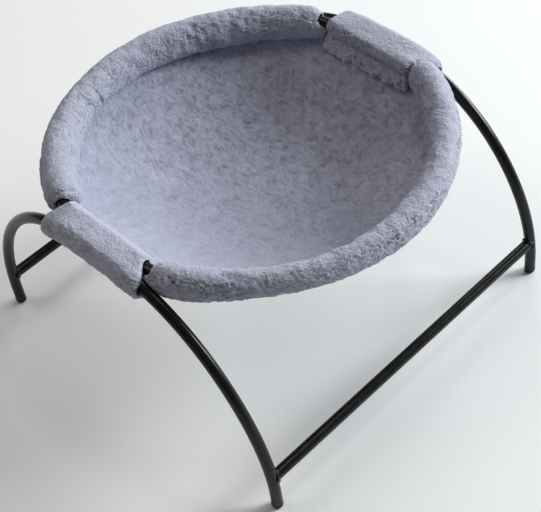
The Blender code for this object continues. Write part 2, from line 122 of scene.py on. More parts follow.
# Rim covers. Each station of a rim: degrees from the right side, then in millimetres how far the roll's
# middle lies inboard of the hoop and below it, and its half-widths down the bowl's slope and across it
COVER_ENDS_Y = {"front": (0.067, 0.0695), "rear": (0.079, 0.076)}
RIM_STATIONS = {
    "front": (
        (20, -2.5, 3.5, 17.0, 16.5), (26, -1.0, 5.0, 18.5, 17.2), (34, 0.2, 5.5, 18.6, 17.2),
        (44, 0.2, 5.5, 18.0, 16.8), (55, 0.0, 5.5, 17.2, 16.2), (66, -0.4, 5.5, 17.0, 16.2),
        (80, -0.6, 5.5, 16.8, 16.2), (92, 0.0, 5.5, 16.6, 15.9), (102, 0.9, 5.2, 16.0, 15.2),
        (112, 1.8, 4.6, 15.2, 14.3), (122, 3.4, 4.2, 15.0, 13.9), (132, 4.2, 4.0, 15.4, 14.3),
        (142, 3.8, 4.2, 16.4, 15.5), (150, 2.4, 4.4, 17.2, 17.0), (160, 1.5, 4.2, 17.4, 17.4),
    ),
    "rear": (
        (22, 0.5, 3.0, 16.5, 15.0), (28, 2.0, 4.6, 18.4, 15.4), (34, 4.4, 5.5, 19.4, 15.5),
        (44, 6.8, 5.5, 19.8, 15.5), (56, 7.4, 5.5, 20.0, 15.5), (66, 6.0, 5.5, 20.2, 15.5),
        (78, 3.8, 5.5, 20.0, 15.6), (90, 2.5, 5.5, 19.6, 15.8), (102, 1.9, 5.3, 19.0, 16.2),
        (114, 2.1, 5.2, 19.4, 17.0), (126, 2.7, 5.0, 20.2, 18.2), (138, 3.4, 4.8, 20.6, 19.0),
        (148, 3.8, 4.4, 19.8, 18.4), (156, 3.4, 4.0, 18.4, 17.6),
    ),
}
STATION_BLEND = 0.012
COVER_CLOTH = 0.0024
ARCH_CLEARANCE = 0.0016
SLING_CLEARANCE = 0.0012
CUFF_RADIUS = 0.0072
CUFF_BULGE = 0.0055
CUFF_STEPS = 16
CUFF_DEPTHS = (0.0015, 0.004, 0.010)
END_ROUNDING = 0.008
END_SCALE = 0.86
# How far the underside of an end reaches on past its upper side, and which way that part faces: inward and up
END_TONGUES = {
    ("front", "left"): (0.0145, -0.50, -0.88),
    ("rear", "right"): (0.0110, 0.55, -0.85),
    ("rear", "left"): (-0.0050, -1.0, -0.20),
}
END_TONGUE_FADE = 0.014
SEAM_WIDTH = 0.0026
SEAM_DEPTH = 0.0016
SEAM_LEAN = 0.6
# Lumps as heights and sizes
RIM_LUMPS = ((0.0010, 0.045), (0.0010, 0.018))
RIM_DIMPLES = ((0.0006, 0.0095),)
CREASE_DEPTHS = {"front": 0.0007, "rear": 0.0014}
CREASE_SPACING = 0.021
WADDING_BORE = 0.0063
WADDING_FILL = 0.97
WADDING_RINGS = 45

# Cloth simulation of the covers
CLOTH_STRIDE = 8
CLOTH_FRAMES = 12
CLOTH_HOLD = 0.3
CLOTH_LIMIT = 0.0016
CLOTH_SETTINGS = {
    "quality": 6, "mass": 0.3, "air_damping": 5,
    "tension_stiffness": 15, "compression_stiffness": 15, "shear_stiffness": 5, "bending_stiffness": 2.0,
    "tension_damping": 15, "compression_damping": 15, "shear_damping": 15,
    "use_pressure": True, "uniform_pressure_force": 4.0, "shrink_min": -0.004,
}

# Pile
PILE_CELL = 0.00084
CURL_HEIGHT = 0.0034
FLAT_PILE_HEIGHT = 0.0013
PLUSH_HEIGHT = 0.0013
PILE_PATCH = 0.026
FUZZ = 0.0017
# The side the light comes from: faces turned to it get flatter pile and a lighter, evener pile colour, which
# is painted light
LIT_SIDE = np.array((0.45, 0.35, 0.82))
RIM_SMOOTHNESS = {"front": 0.0, "rear": 0.30}

# Wraps: their spans along hoop and arch from front to rear, the skirt's reach down the sling, and how much of
# the roll is left at the front and rear ends
WRAPS = {
    "left": {"hoop": (-0.050, 0.066), "arch": (-0.064, 0.079), "skirt": 0.036, "ends": (0.86, 0.80)},
    "right": {"hoop": (-0.063, 0.057), "arch": (-0.078, 0.058), "skirt": 0.0138, "ends": (0.90, 0.80)},
}
WRAP_COLUMNS = 190
WRAP_END_ROUNDING = 0.012
WRAP_EDGE = 0.0045
EDGE_MEETING = 0.35
WRAP_LUMPS = ((0.0009, 0.030),)
# Radii round hoop and arch with the degrees that each face turns, from straight inboard over the top
ROLL_OVER_HOOP = 0.0120
ROLL_OVER_ARCH = 0.0143
WRAP_HOLLOW = 0.0072
OUTER_TURNS = {"hoop": (-28, 90), "arch": (95, 232)}
INNER_TURNS = {"hoop": (-25, 90), "arch": (95, 262)}
# The left wrap's skirt lies on the sling. Its upper face is given as shares of its reach and thickness there
SKIRT_GAP = 0.0010
LONG_SKIRT = ((1, 0.0008), (0.84, 0.0016), (0.66, 0.0024), (0.48, 0.0032))
LONG_SKIRT_UNDERSIDE = (1, 0.8, 0.6, 0.42)
# The right wrap hangs from a shoulder inboard of the hoop, over a groove, to a short ragged hem. The lines
# give how far inboard of the hem, groove or shoulder a place is, and how high over the sling or hoop
SHOULDER_WIDTHS = ((-0.060, 0.057), (0.0158, 0.0115))
GROOVE_DEPTH = 0.0052
HEM_LINE = ((0.0, 0.0016), (0.0030, 0.0058))
HEM_TOP = 0.0024
GROOVE_LINE = ((0.0034, -0.0105), (0.0012, -0.0066), (0.0, -0.0044))
SHOULDER_LINE = ((-0.0022, -0.0022), (0.0, 0.0022))
SHOULDER_TOP = ((-0.0010, 0.60), (-0.0045, 0.90))
CREST_X = 0.0010
HEM_UNDERSIDE = (-0.0030, 0.0008)
GROOVE_UNDERSIDE = ((0.0100, -0.0185), (0.0070, -0.0100))
SKIRT_RAGGED = 0.0030
RAGGED_NOTCHES = ((1, 0.0100), (0.35, 0.0048))
SKIRT_CURL = 0.0068
SKIRT_CURL_HEIGHT = 0.0036
SKIRT_CURL_SPAN = (0.07, 0.15)
FLUFF_SIDE = np.array((-1.0, 0, 0.6))
# Shares of a wrap's run from its hem to its tongue, between which it changes
HEM_SPAN = (0, 0.05)
SKIRT_SPAN = (0.10, 0.16)
TOP_SPANS = ((0.20, 0.32), (0.46, 0.62))
SMOOTH_SPAN = (0.24, 0.58)
# Painted light: how much lighter the pile's colour is made on the lit top of the left wrap and on the right
# wrap's hem
TOP_PAINTED_LIGHT = 0.25
HEM_PAINTED_LIGHT = 0.30

# Closure under the sling: tongues, tapes and stitches
STRIP_THICKNESS = 0.0012
STRIP_WIDTH = 0.016
STRIP_START = 0.008
TAPE_CELLS = (120, 22)
TAPE_BEVEL = (0.0003, 0.0010)
TAPE_NAP = (0.00012, 0.0013)
SEWN_LAYERS = LINING_THICKNESS + BACKING_THICKNESS
LOOP_OFFSET = SEWN_LAYERS + 2 * LAYER_GAP
TAPE_OFFSETS = {"loop": LOOP_OFFSET, "hook": LOOP_OFFSET + STRIP_THICKNESS + LAYER_GAP}
TONGUE_OFFSET = SEWN_LAYERS + 2 * STRIP_THICKNESS + 5 * LAYER_GAP
TONGUE_THICKNESS = 0.0036
TONGUE_PLACES = (0.017, 0.028)
STITCH_PITCH = 0.0042
STITCH_RADIUS = 0.00042
STITCH_SHARE = 0.72
STITCH_RINGS = 7
STITCH_SIDES = 6
SLING_STITCH_INSETS = (0.0065, 0.0090)
TONGUE_STITCHES = (0.0095, 0.0225)

# Colours of pile, from deep in it to its tips. The deep colours are darker, and in the fleece warmer: painted
# shade between curls and fibres
FLEECE_COLOURS = ((0.24, (0.13, 0.125, 0.125)), (0.50, (0.385, 0.395, 0.495)), (0.74, (0.505, 0.515, 0.65)))
PLUSH_COLOURS = ((0.22, (0.215, 0.214, 0.262)), (0.50, (0.385, 0.395, 0.50)), (0.76, (0.51, 0.52, 0.66)))

# Softboxes: azimuth from the right side towards the rear, elevation, width, watts and colour
COOL = (0.91, 0.97, 1.0)
NEUTRAL = (1.0, 0.99, 0.95)
WARM = (1.0, 0.90, 0.80)
LIGHTS = (
    ("right_low", 0, 12, 2.0, 126, NEUTRAL),
    ("rear_right", 30, 38, 2.0, 48, COOL),
    ("front_right", 330, 25, 2.0, 244, COOL),
    ("rear_left", 120, 55, 2.0, 34, WARM),
    ("overhead", 343, 72, 0.6, 14, NEUTRAL),
)
LIGHT_DISTANCE = 5.0
WORLD_STRENGTH = 0.12
FLOOR_SIZE = 8

# Camera, fitted to the tubes in the photograph
CAMERA_YAW = math.radians(-38.594)
CAMERA_PITCH = math.radians(47.241)
CAMERA_ROLL = math.radians(-8.95)
CAMERA_DISTANCE = 1.4024
CAMERA_TARGET = Vector((-0.0385, -0.0555, 0.12))
CAMERA_LENS = 90.54
CAMERA_SENSOR = 36
HALF_PIXEL = 0.5 / 541


# Lines, rings and curves


def unit(vectors):
    return vectors / np.maximum(np.linalg.norm(vectors, axis=-1, keepdims=True), 1e-12)


def square_to(tangents, vectors):
    """Directions of the vectors, made square to the tangents."""
    return unit(vectors - (vectors * tangents).sum(-1, keepdims=True) * tangents)


def facing(spokes, directions):
    """From -1 to 1, how far each spoke of a ring faces along its ring's direction."""
    return (spokes * directions[:, None]).sum(-1)


def smooth_step(low, high, value):
    share = np.clip((value - low) / (high - low), 0, 1)
    return share * share * (3 - 2 * share)


def circle(count):
    return 2 * math.pi * np.arange(count) / count


def wheel(turn, first, second):
    """Spokes at angles that turn from the first direction to the second."""
    return np.cos(turn)[:, None] * first + np.sin(turn)[:, None] * second


def length_along(line):
    return np.concatenate([[0], np.cumsum(np.linalg.norm(np.diff(line, axis=0), axis=1))])


def read_along(places, length, values):
    """Values at places between the lengths that they are given for."""
    return np.stack([np.interp(places, length, column) for column in values.T], axis=1)


def catmull_rom(before, start, stop, after, t):
    curve = 2 * start + (stop - before) * t + (2 * before - 5 * start + 4 * stop - after) * t**2
    return (curve + (3 * start - before - 3 * stop + after) * t**3) / 2


def smooth_path(places, count):
    """A line of evenly spaced points through places."""
    places = np.asarray(places, float)
    ends = np.concatenate([[2 * places[0] - places[1]], places, [2 * places[-1] - places[-2]]])
    t = np.linspace(0, 1, 12, endpoint=False)[:, None]
    line = [catmull_rom(*corners, t) for corners in zip(ends, ends[1:], ends[2:], ends[3:])]
    line = np.concatenate([*line, places[-1:]])
    length = length_along(line)
    return read_along(np.linspace(0, length[-1], count), length, line)


def refined(values, places, around=False):
    """Values along the first axis at places between them."""
    count = len(values)
    first = np.floor(places).astype(int)
    t = (places - first).reshape(-1, *[1] * (values.ndim - 1))
    near = [first + step for step in (-1, 0, 1, 2)]
    near = [index % count if around else np.clip(index, 0, count - 1) for index in near]
    return catmull_rom(*(values[index] for index in near), t)


def rings_along(points, tangents, across, radius, sides):
    """Circles of points round a line. Radius is one number, or one for each ring."""
    across = square_to(tangents, across)
    spokes = wheel(circle(sides), across[:, None], np.cross(tangents, across)[:, None])
    radius = np.broadcast_to(np.asarray(radius, float), (len(points),))
    return points[:, None] + radius[:, None, None] * spokes


# Noise


def lattice_noise(points, seed):
    """Smooth noise, about -1 to 1, that changes over one unit of length.

    A hash gives each cell's corner its slope."""
    points = np.asarray(points, float)
    cell = np.floor(points).astype(np.int64)
    local = points - cell
    fade = local**3 * (local * (local * 6 - 15) + 10)
    total = np.zeros(points.shape[:-1])
    for corner in itertools.product((0, 1), repeat=3):
        at = cell + corner
        key = at[..., 0] * 73856093 ^ at[..., 1] * 19349663 ^ at[..., 2] * 83492791 ^ seed * 2654435761
        key = (key ^ key >> 15) * 2246822519 & 0xFFFFFFFF
        key = (key ^ key >> 13) * 3266489917 & 0xFFFFFFFF
        turn = (key & 0xFFFF) / 0x10000 * 2 * math.pi
        height = (key >> 16) / 0x10000 * 2 - 1
        flat = np.sqrt(1 - height**2)
        away = local - corner
        level = away[..., 0] * flat * np.cos(turn) + away[..., 1] * flat * np.sin(turn)
        total += (level + away[..., 2] * height) * np.prod(np.where(corner, fade, 1 - fade), axis=-1)
    return total * 1.6


def noise_vector(points, seed):
    return np.stack([lattice_noise(points, seed + axis) for axis in range(3)], axis=-1)


def layered_noise(points, layers, seed):
    """Sum of noises, each with its height and size."""
    return sum(height * lattice_noise(points / size, seed + n) for n, (height, size) in enumerate(layers))


def noise_on_line(places, layers, seed):
    """Layered noise that changes along one line alone."""
    return layered_noise(np.stack([places, 0 * places, 0 * places], axis=1), layers, seed)


def ridges(points, sharpness, seed):
    """Winding ridges from 0 to 1, one to about each unit of length."""
    return smooth_step(0, 1, 1 - np.clip(sharpness * np.abs(lattice_noise(points, seed)), 0, 1))


def fleece_relief(points, seed):
    """Height of curly fleece from 0 to 1. Its curls run along the first axis of the points."""
    drawn = points * (0.58, 1.0, 1.0)
    drift = 0.0017 * noise_vector(drawn / 0.0060, seed)
    curl = ridges((drawn + drift) / 0.0040, 2.1, seed + 10)
    clump = smooth_step(-0.42, 0.50, lattice_noise((drawn + drift) / 0.0034, seed + 15))
    strand = ridges((drawn + drift / 2) / 0.0022, 1.9, seed + 20)
    tuft = 0.5 + 0.5 * lattice_noise((points + drift) / 0.0085, seed + 30)
    fuzz = lattice_noise(points / FUZZ, seed + 50)
    return np.clip(0.34 * curl + 0.22 * clump + 0.24 * strand + 0.18 * tuft + 0.10 * fuzz, 0, 1)


def stroked_relief(points, seed):
    """Height from 0 to 1 of the same pile where it lies flat: soft hollows and a little grain."""
    drift = 0.004 * noise_vector(points / 0.012, seed + 60)
    hollow = lattice_noise((points + drift) / 0.0062, seed + 70)
    grain = lattice_noise((points + drift) / 0.0027, seed + 80)
    fuzz = lattice_noise(points / FUZZ, seed + 50)
    return np.clip(0.60 + 0.20 * hollow + 0.24 * grain + 0.12 * fuzz, 0, 1)


def plush_relief(points, seed):
    """Height of short plush from 0 to 1: a fine grain with short streaks."""
    drift = 0.003 * noise_vector(points / 0.011, seed)
    grain = lattice_noise((points + drift) / 0.0025, seed + 10)
    streak = lattice_noise((points + drift) * (1.0, 0.35, 1.0) / 0.0034, seed + 20)
    patch = lattice_noise((points + 2 * drift) / 0.0130, seed + 30)
    return np.clip(0.5 + 0.26 * grain + 0.26 * streak + 0.20 * patch, 0, 1)


# Meshes


def get_vectors(obj, name):
    values = np.zeros(len(obj.data.vertices) * 3, np.float32)
    obj.data.vertices.foreach_get(name, values)
    return values.reshape(-1, 3).astype(float)


def face_outward(obj):
    """Turns a closed body's faces so that its volume is positive."""
    mesh = obj.data
    mesh.calc_loop_triangles()
    corners = np.zeros(len(mesh.loop_triangles) * 3, np.int32)
    mesh.loop_triangles.foreach_get("vertices", corners)
    a, b, c = get_vectors(obj, "co")[corners.reshape(-1, 3)].transpose(1, 0, 2)
    if (a * np.cross(b, c)).sum() < 0:
        mesh.flip_normals()


def new_mesh(name, points, faces, material):
    """A smooth mesh object whose faces are turned outward."""
    mesh = bpy.data.meshes.new(name)
    mesh.from_pydata(points.tolist(), [], faces.tolist() if hasattr(faces, "tolist") else faces)
    mesh.validate()
    mesh.shade_smooth()
    mesh.materials.append(MATERIALS[material])
    obj = bpy.data.objects.new(name, mesh)
    bpy.context.scene.collection.objects.link(obj)
    face_outward(obj)
    return obj


def grid_faces(rows, columns, first=0, around=False, closed=False):
    """Quads over rows of points. Around joins each row's ends, closed joins the last row to the first."""
    row = np.arange(rows if closed else rows - 1)[:, None]
    column = np.arange(columns if around else columns - 1)[None, :]
    next_row, next_column = (row + 1) % rows, (column + 1) % columns
    corners = [row * columns + column, row * columns + next_column]
    corners += [next_row * columns + next_column, next_row * columns + column]
    return np.stack([c.ravel() for c in corners], axis=1) + first


def make_shell(name, rings, material):
    """A closed body over rings of points, the last of which joins the first."""
    faces = grid_faces(*rings.shape[:2], around=True, closed=True)
    return new_mesh(name, rings.reshape(-1, 3), faces, material)


def make_pillow(name, top, bottom, material):
    """A closed body between two grids of points of the same shape, joined round their borders."""
    rows, columns = top.shape[:2]
    count = rows * columns
    upper = grid_faces(rows, columns)
    lower = grid_faces(rows, columns, count)[:, ::-1]
    border = list(range(columns))
    border += [r * columns + columns - 1 for r in range(1, rows)]
    border += [(rows - 1) * columns + c for c in range(columns - 2, -1, -1)]
    border += [r * columns for r in range(rows - 2, 0, -1)]
    edge = [(a, count + a, count + b, b) for a, b in zip(border, border[1:] + border[:1])]
    points = np.concatenate([top.reshape(-1, 3), bottom.reshape(-1, 3)])
    return new_mesh(name, points, np.concatenate([upper, lower, np.array(edge)]), material)


def make_turned(name, profile, centre, material):
    """A solid of revolution about a vertical axis, from (radius, height) places, bottom to top."""
    spokes = wheel(circle(FOOT_SIDES), ALONG_X, ALONG_Y)
    rings = np.array([centre + radius * spokes + UP * height for radius, height in profile])
    last = (len(profile) - 1) * FOOT_SIDES
    faces = [tuple(face) for face in grid_faces(len(profile), FOOT_SIDES, around=True)]
    faces += [tuple(range(FOOT_SIDES))[::-1], tuple(range(last, last + FOOT_SIDES))]
    return new_mesh(name, rings.reshape(-1, 3), faces, material)


def raise_pile(obj, relief, height, sink=0.8):
    """Moves each vertex along its normal by its relief, less the share that it sinks."""
    moved = get_vectors(obj, "co") + get_vectors(obj, "normal") * (height * (relief - sink))[:, None]
    obj.data.vertices.foreach_set("co", moved.astype(np.float32).ravel())
    obj.data.update()


def keep_pile(obj, depth):
    """Keeps the height of the pile for the material, which colours deep pile darker as painted shade."""
    layer = obj.data.attributes.new("pile", "FLOAT", "POINT")
    layer.data.foreach_set("value", depth.astype(np.float32))


def raise_fleece(obj, space, outside, seed, smoothed=0.0, painted_light=0.0):
    """Curly pile on the vertices marked as outside, in patches. space is the fabric laid straight.

    The pile is made flatter, and its colour lighter and evener, on the sides turned to the light: painted
    light. painted_light makes the colour lighter still where it is given, also painted light."""
    patch = smooth_step(-0.55, 0.45, lattice_noise(space / PILE_PATCH, seed + 40))
    # Faces turned to the light get flatter pile and a lighter, evener pile colour: painted light.
    facing_light = smooth_step(0.30, 0.80, get_vectors(obj, "normal") @ unit(LIT_SIDE))
    flat = 1 - (1 - facing_light) * (1 - smoothed)
    curly = (1 - flat) * (0.55 + 0.45 * patch)
    relief = curly * fleece_relief(space, seed) + (1 - curly) * stroked_relief(space, seed)
    raise_pile(obj, relief, outside * (FLAT_PILE_HEIGHT + (CURL_HEIGHT - FLAT_PILE_HEIGHT) * curly))
    # The kept pile height, with any painted light added, sets the pile's colour.
    keep_pile(obj, painted_light + 0.62 + (relief - 0.62) * (0.65 + 0.35 * curly))


def finish_piece(obj, slot, *nodes):
    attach(obj, "root")
    if nodes:
        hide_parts(*nodes)
    return obj


# Materials


class Nodes:
    """A material's node tree, with short calls for the nodes used here."""

    def __init__(self, name):
        self.material = bpy.data.materials.new(name)
        self.material.use_nodes = True
        self.tree = self.material.node_tree
        self.place = self.add("ShaderNodeTexCoord").outputs["Object"]

    def add(self, kind, **settings):
        node = self.tree.nodes.new(kind)
        for key, value in settings.items():
            setattr(node, key, value)
        return node

    def put(self, socket, value):
        if isinstance(value, bpy.types.NodeSocket):
            self.tree.links.new(value, socket)
        else:
            socket.default_value = value

    def fill(self, node, **values):
        """Puts values on inputs by name, with _ for a space."""
        for name, value in values.items():
            self.put(node.inputs[name.replace("_", " ")], value)

    def noise(self, scale, detail, roughness=0.5, distortion=0.0):
        node = self.add("ShaderNodeTexNoise")
        self.fill(node, Vector=self.place, Scale=scale, Detail=detail)
        self.fill(node, Roughness=roughness, Distortion=distortion)
        return node.outputs["Fac"]

    def attribute(self, name):
        return self.add("ShaderNodeAttribute", attribute_name=name).outputs["Fac"]

    def math(self, operation, first, second=0.0):
        node = self.add("ShaderNodeMath", operation=operation)
        self.put(node.inputs[0], first)
        self.put(node.inputs[1], second)
        return node.outputs[0]

    def weighted(self, first, *others):
        """Sum of values, each given with its weight."""
        total = self.math("MULTIPLY", *first)
        for other in others:
            total = self.math("ADD", total, self.math("MULTIPLY", *other))
        return total

    def ramp(self, factor, *stops):
        """Colour or grey by a factor. Stops are (place, colour)."""
        node = self.add("ShaderNodeValToRGB")
        self.put(node.inputs["Fac"], factor)
        elements = node.color_ramp.elements
        while len(elements) < len(stops):
            elements.new(0.5)
        for element, (place, colour) in zip(elements, stops):
            element.position = place
            element.color = (*colour, 1)
        return node.outputs["Color"]

    def multiplied(self, first, second):
        node = self.add("ShaderNodeMix", data_type="RGBA", blend_type="MULTIPLY")
        for index, value in ((0, 1.0), (6, first), (7, second)):
            self.put(node.inputs[index], value)
        return node.outputs[2]

    def bump(self, height, distance, strength, under=None):
        node = self.add("ShaderNodeBump")
        self.fill(node, Height=height, Distance=distance, Strength=strength)
        if under is not None:
            self.put(node.inputs["Normal"], under)
        return node.outputs["Normal"]

    def finish(self, **sockets):
        self.fill(self.tree.nodes["Principled BSDF"], **sockets)
        return self.material


def grey(level):
    return (level, level, level)


def make_speckled(name, dark, light, noise, roughness, relief=None, **sockets):
    """A finish that follows one noise in colour, and in roughness where that is two numbers.

    Relief is the height and strength of the same noise as bumps."""
    nodes = Nodes(name)
    speckle = nodes.noise(*noise)
    colour = nodes.ramp(speckle, (0.3, dark), (0.7, light))
    if isinstance(roughness, tuple):
        roughness = nodes.ramp(speckle, (0.3, grey(roughness[0])), (0.7, grey(roughness[1])))
    if relief:
        sockets["Normal"] = nodes.bump(speckle, *relief)
    return nodes.finish(Base_Color=colour, Roughness=roughness, **sockets)


def make_powder_coat():
    nodes = Nodes("powder_coat")
    peel = nodes.noise(900, 2.0)
    patch = nodes.noise(60, 3.0)
    colour = nodes.ramp(patch, (0.3, (0.006, 0.006, 0.0063)), (0.7, (0.010, 0.010, 0.0103)))
    rough = nodes.ramp(patch, (0.35, grey(0.20)), (0.65, grey(0.25)))
    normal = nodes.bump(peel, 0.00010, 0.5)
    return nodes.finish(Base_Color=colour, Roughness=rough, Specular_IOR_Level=0.28, Normal=normal)


def make_fleece():
    """Curly fleece: coloured darker between its curls as painted shade, with a soft bloom where light grazes
    the pile.
    """
    nodes = Nodes("curly_fleece")
    fibre = nodes.noise(560, 3.0, 0.65, 0.8)
    clump = nodes.noise(250, 2.0, 0.60, 1.2)
    patch = nodes.noise(34, 3.0, 0.55)
    # Deep pile and low clumps are coloured darker: painted shade.
    depth = nodes.weighted((clump, 0.28), (fibre, 0.14), (nodes.attribute("pile"), 0.58))
    tone = nodes.ramp(patch, (0.30, grey(0.93)), (0.70, grey(1.0)))
    return nodes.finish(
        Base_Color=nodes.multiplied(nodes.ramp(depth, *FLEECE_COLOURS), tone),
        Roughness=0.95, Sheen_Weight=0.35, Sheen_Roughness=0.55, Specular_IOR_Level=0.1,
        Normal=nodes.bump(fibre, 0.0011, 0.8, nodes.bump(clump, 0.0024, 0.6)),
    )


def make_plush():
    """Short plush whose pile leans one way and another in soft patches."""
    nodes = Nodes("plush")
    fibre = nodes.noise(1300, 3.0, 0.6, 0.8)
    lean = nodes.noise(420, 3.0, 0.6, 0.4)
    # Deep pile is coloured darker: painted shade.
    depth = nodes.weighted((nodes.attribute("pile"), 0.75), (lean, 0.25))
    return nodes.finish(
        Base_Color=nodes.ramp(depth, *PLUSH_COLOURS),
        Roughness=0.95, Sheen_Weight=0.30, Sheen_Roughness=0.5, Specular_IOR_Level=0.1,
        Normal=nodes.bump(fibre, 0.0006, 0.7, nodes.bump(lean, 0.0012, 0.5)),
    )


def make_woven(name, dark, light, thread, roughness):
    """Plain weave: two sets of threads that go over and under in turn."""
    nodes = Nodes(name)
    split = nodes.add("ShaderNodeSeparateXYZ")
    nodes.put(split.inputs[0], nodes.place)
    turns = [nodes.math("MULTIPLY", split.outputs[axis], math.pi / thread) for axis in "XY"]
    waves = [nodes.math("SINE", turn) for turn in turns]
    over = nodes.math("ADD", nodes.math("MULTIPLY", nodes.math("MULTIPLY", *waves), 0.5), 0.5)
    height = nodes.weighted((over, 0.7), (nodes.noise(420, 3.0), 0.3))
    return nodes.finish(
        Base_Color=nodes.ramp(height, (0.2, dark), (0.8, light)), Roughness=roughness, Sheen_Weight=0.1,
        Specular_IOR_Level=0.2, Normal=nodes.bump(height, thread / 4, 0.6),
    )


def make_fluffy(name, dark, light, scale, roughness):
    return make_speckled(name, dark, light, (scale, 4.0, 0.65, 1.5), roughness, (0.5 / scale, 0.8))


MATERIALS = {
    "powder_coat": make_powder_coat(),
    "foot_plastic": make_speckled(
        "foot_plastic", (0.004, 0.004, 0.0045), (0.007, 0.007, 0.0075), (1600, 3.0), 0.45, (0.0001, 0.4),
        Specular_IOR_Level=0.2,
    ),
    "joiner_steel": make_speckled(
        "joiner_steel", (0.46, 0.47, 0.49), (0.62, 0.63, 0.65), (260, 3.0), (0.28, 0.42), (0.00006, 0.5),
        Metallic=1.0,
    ),
    "curly_fleece": make_fleece(),
    "plush": make_plush(),
    "woven_backing": make_woven("woven_backing", (0.13, 0.13, 0.145), (0.24, 0.24, 0.27), 0.0007, 0.85),
    "wadding": make_fluffy("wadding", (0.66, 0.66, 0.64), (0.86, 0.86, 0.84), 380, 1.0),
    "hook_tape": make_woven("hook_tape", (0.09, 0.09, 0.105), (0.20, 0.20, 0.225), 0.0009, 0.6),
    "loop_tape": make_fluffy("loop_tape", (0.15, 0.15, 0.17), (0.30, 0.30, 0.34), 900, 0.95),
    "thread": make_speckled(
        "thread", (0.20, 0.20, 0.23), (0.30, 0.30, 0.34), (2200, 2.0), 0.6, (0.0001, 0.5)
    ),
    "floor": make_speckled("floor", grey(0.94), grey(0.96), (3, 2.0), 0.9, Specular_IOR_Level=0.1),
}


# Stand


def make_tube(name, points, tangents, across, node):
    """A hollow tube with flat ends, closed between its outer and inner walls."""
    skin = rings_along(points, tangents, across, TUBE_RADIUS, TUBE_SIDES)
    bore = rings_along(points, tangents, across, BORE_RADIUS, TUBE_SIDES)[::-1]
    finish_tube(make_shell(name, np.concatenate([skin, bore]), "powder_coat"), node)


def finish_tube(tube, node):
    tube.data.set_sharp_from_angle(angle=TUBE_EDGE)
    finish_piece(tube, "powder_coat", node)


def leg_line(side, end):
    """Centreline of one leg from the middle of the top bar down to the foot, and its direction."""
    turned = math.sin(BEND_TURN)
    lower_radius = (FOOT_Y - TOP_BAR_HALF - UPPER_BEND_RADIUS * turned) / (1 - turned)
    places = [(BUTT_GAP, ARCH_TOP, 0.0)]
    places += [(y, ARCH_TOP, 0.0) for y in np.arange(TUBE_STEP, TOP_BAR_HALF, TUBE_STEP)]
    y, z, heading = TOP_BAR_HALF, ARCH_TOP, 0.0
    for radius in (UPPER_BEND_RADIUS, lower_radius):
        steps = int(radius * BEND_TURN / TUBE_STEP)
        for step in range(steps):
            now = heading + BEND_TURN * step / steps
            out = radius * (math.sin(now) - math.sin(heading))
            down = radius * (math.cos(heading) - math.cos(now))
            places.append((y + out, z - down, now))
        y += radius * (math.sin(heading + BEND_TURN) - math.sin(heading))
        z -= radius * (math.cos(heading) - math.cos(heading + BEND_TURN))
        heading += BEND_TURN
    places += [(y, z, heading), (y, PLUG_TOP, heading)]
    y, z, heading = np.array(places).T
    forward = ENDS[end]
    points = np.stack([np.full_like(y, SIDES[side] * ARCH_X), forward * y, z], axis=1)
    tangents = np.stack([np.zeros_like(y), forward * np.cos(heading), -np.sin(heading)], axis=1)
    return points, tangents


def make_leg(side, end):
    make_tube(f"{end}_{side}_leg_tube", *leg_line(side, end), ALONG_X, f"{end}_{side}_leg")


def make_crossbar(end):
    """A tube coped to both legs, and its welds."""
    centre = np.array((0.0, ENDS[end] * CROSSBAR.y, CROSSBAR.z))
    points, tangents = leg_line("right", end)
    down = tangents[np.abs(points[:, 2] - CROSSBAR.z).argmin()]
    beside = np.cross(ALONG_X, down)
    turn = circle(TUBE_SIDES)
    rows = []
    for radius, order in ((TUBE_RADIUS, 1), (BORE_RADIUS, -1)):
        ring = radius * wheel(turn, down, beside)
        # The leg is as thick as the bar, so the bar's end lies deepest beside the leg's middle.
        cope = np.sqrt(TUBE_RADIUS**2 - (radius * np.sin(turn)) ** 2 + COPE_CLEARANCE**2)
        for share in CROSSBAR_RINGS[::order]:
            rows.append(centre + ring + (share * (ARCH_X - cope))[:, None] * ALONG_X)
    finish_tube(make_shell(f"{end}_crossbar_tube", np.array(rows), "powder_coat"), f"{end}_crossbar")
    for side in SIDES:
        make_weld(side, end, centre, down, beside)


def make_weld(side, end, centre, down, beside):
    """A rippled weld bead round the joint of crossbar and leg, under the powder coat."""
    turn = circle(BEAD_RIPPLES * RIPPLE_STEPS)
    cope = np.sqrt((TUBE_RADIUS * np.cos(turn)) ** 2 + COPE_CLEARANCE**2)
    ring = BEAD_RING * wheel(turn, down, beside)
    line = centre + ring + (SIDES[side] * (ARCH_X - cope))[:, None] * ALONG_X
    tangents = unit(np.roll(line, -1, axis=0) - np.roll(line, 1, axis=0))
    ripple = BEAD_RADIUS * (1 + RIPPLE_DEPTH * np.abs(np.sin(turn * BEAD_RIPPLES / 2)))
    rings = rings_along(line, tangents, unit(ring), ripple, BEAD_SIDES)
    finish_piece(make_shell(f"{end}_{side}_weld", rings, "powder_coat"), "powder_coat")


def make_foot(side, end):
    """A plug with a domed head under a small rolled lip, and a ribbed shank inside the tube."""
    node = f"{end}_{side}_foot_plug"
    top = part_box(node)[1].z
    wide, high = FOOT_DOME
    dome = [math.radians(angle) for angle in range(0, 91, 10)]
    profile = [(FOOT_FLAT + wide * math.sin(turn), high * (1 - math.cos(turn))) for turn in dome]
    profile += [(radius, PLUG_TOP + above) for radius, above in FOOT_LIP]
    pitch = (top - PLUG_TOP) / (RIB_COUNT + 1)
    for rib in range(RIB_COUNT):
        profile += [(radius, PLUG_TOP + rib * pitch + pitch * share) for share, radius in RIB_LINE]
    profile += [(radius, top + above) for radius, above in SHANK_END]
    centre = np.array((SIDES[side] * ARCH_X, ENDS[end] * FOOT_Y, 0.0))
    plug = make_turned(f"{end}_{side}_foot", profile, centre, "foot_plastic")
    plug.data.set_sharp_from_angle(angle=FOOT_EDGE)
    finish_piece(plug, "foot_plastic", node)


# Hoop


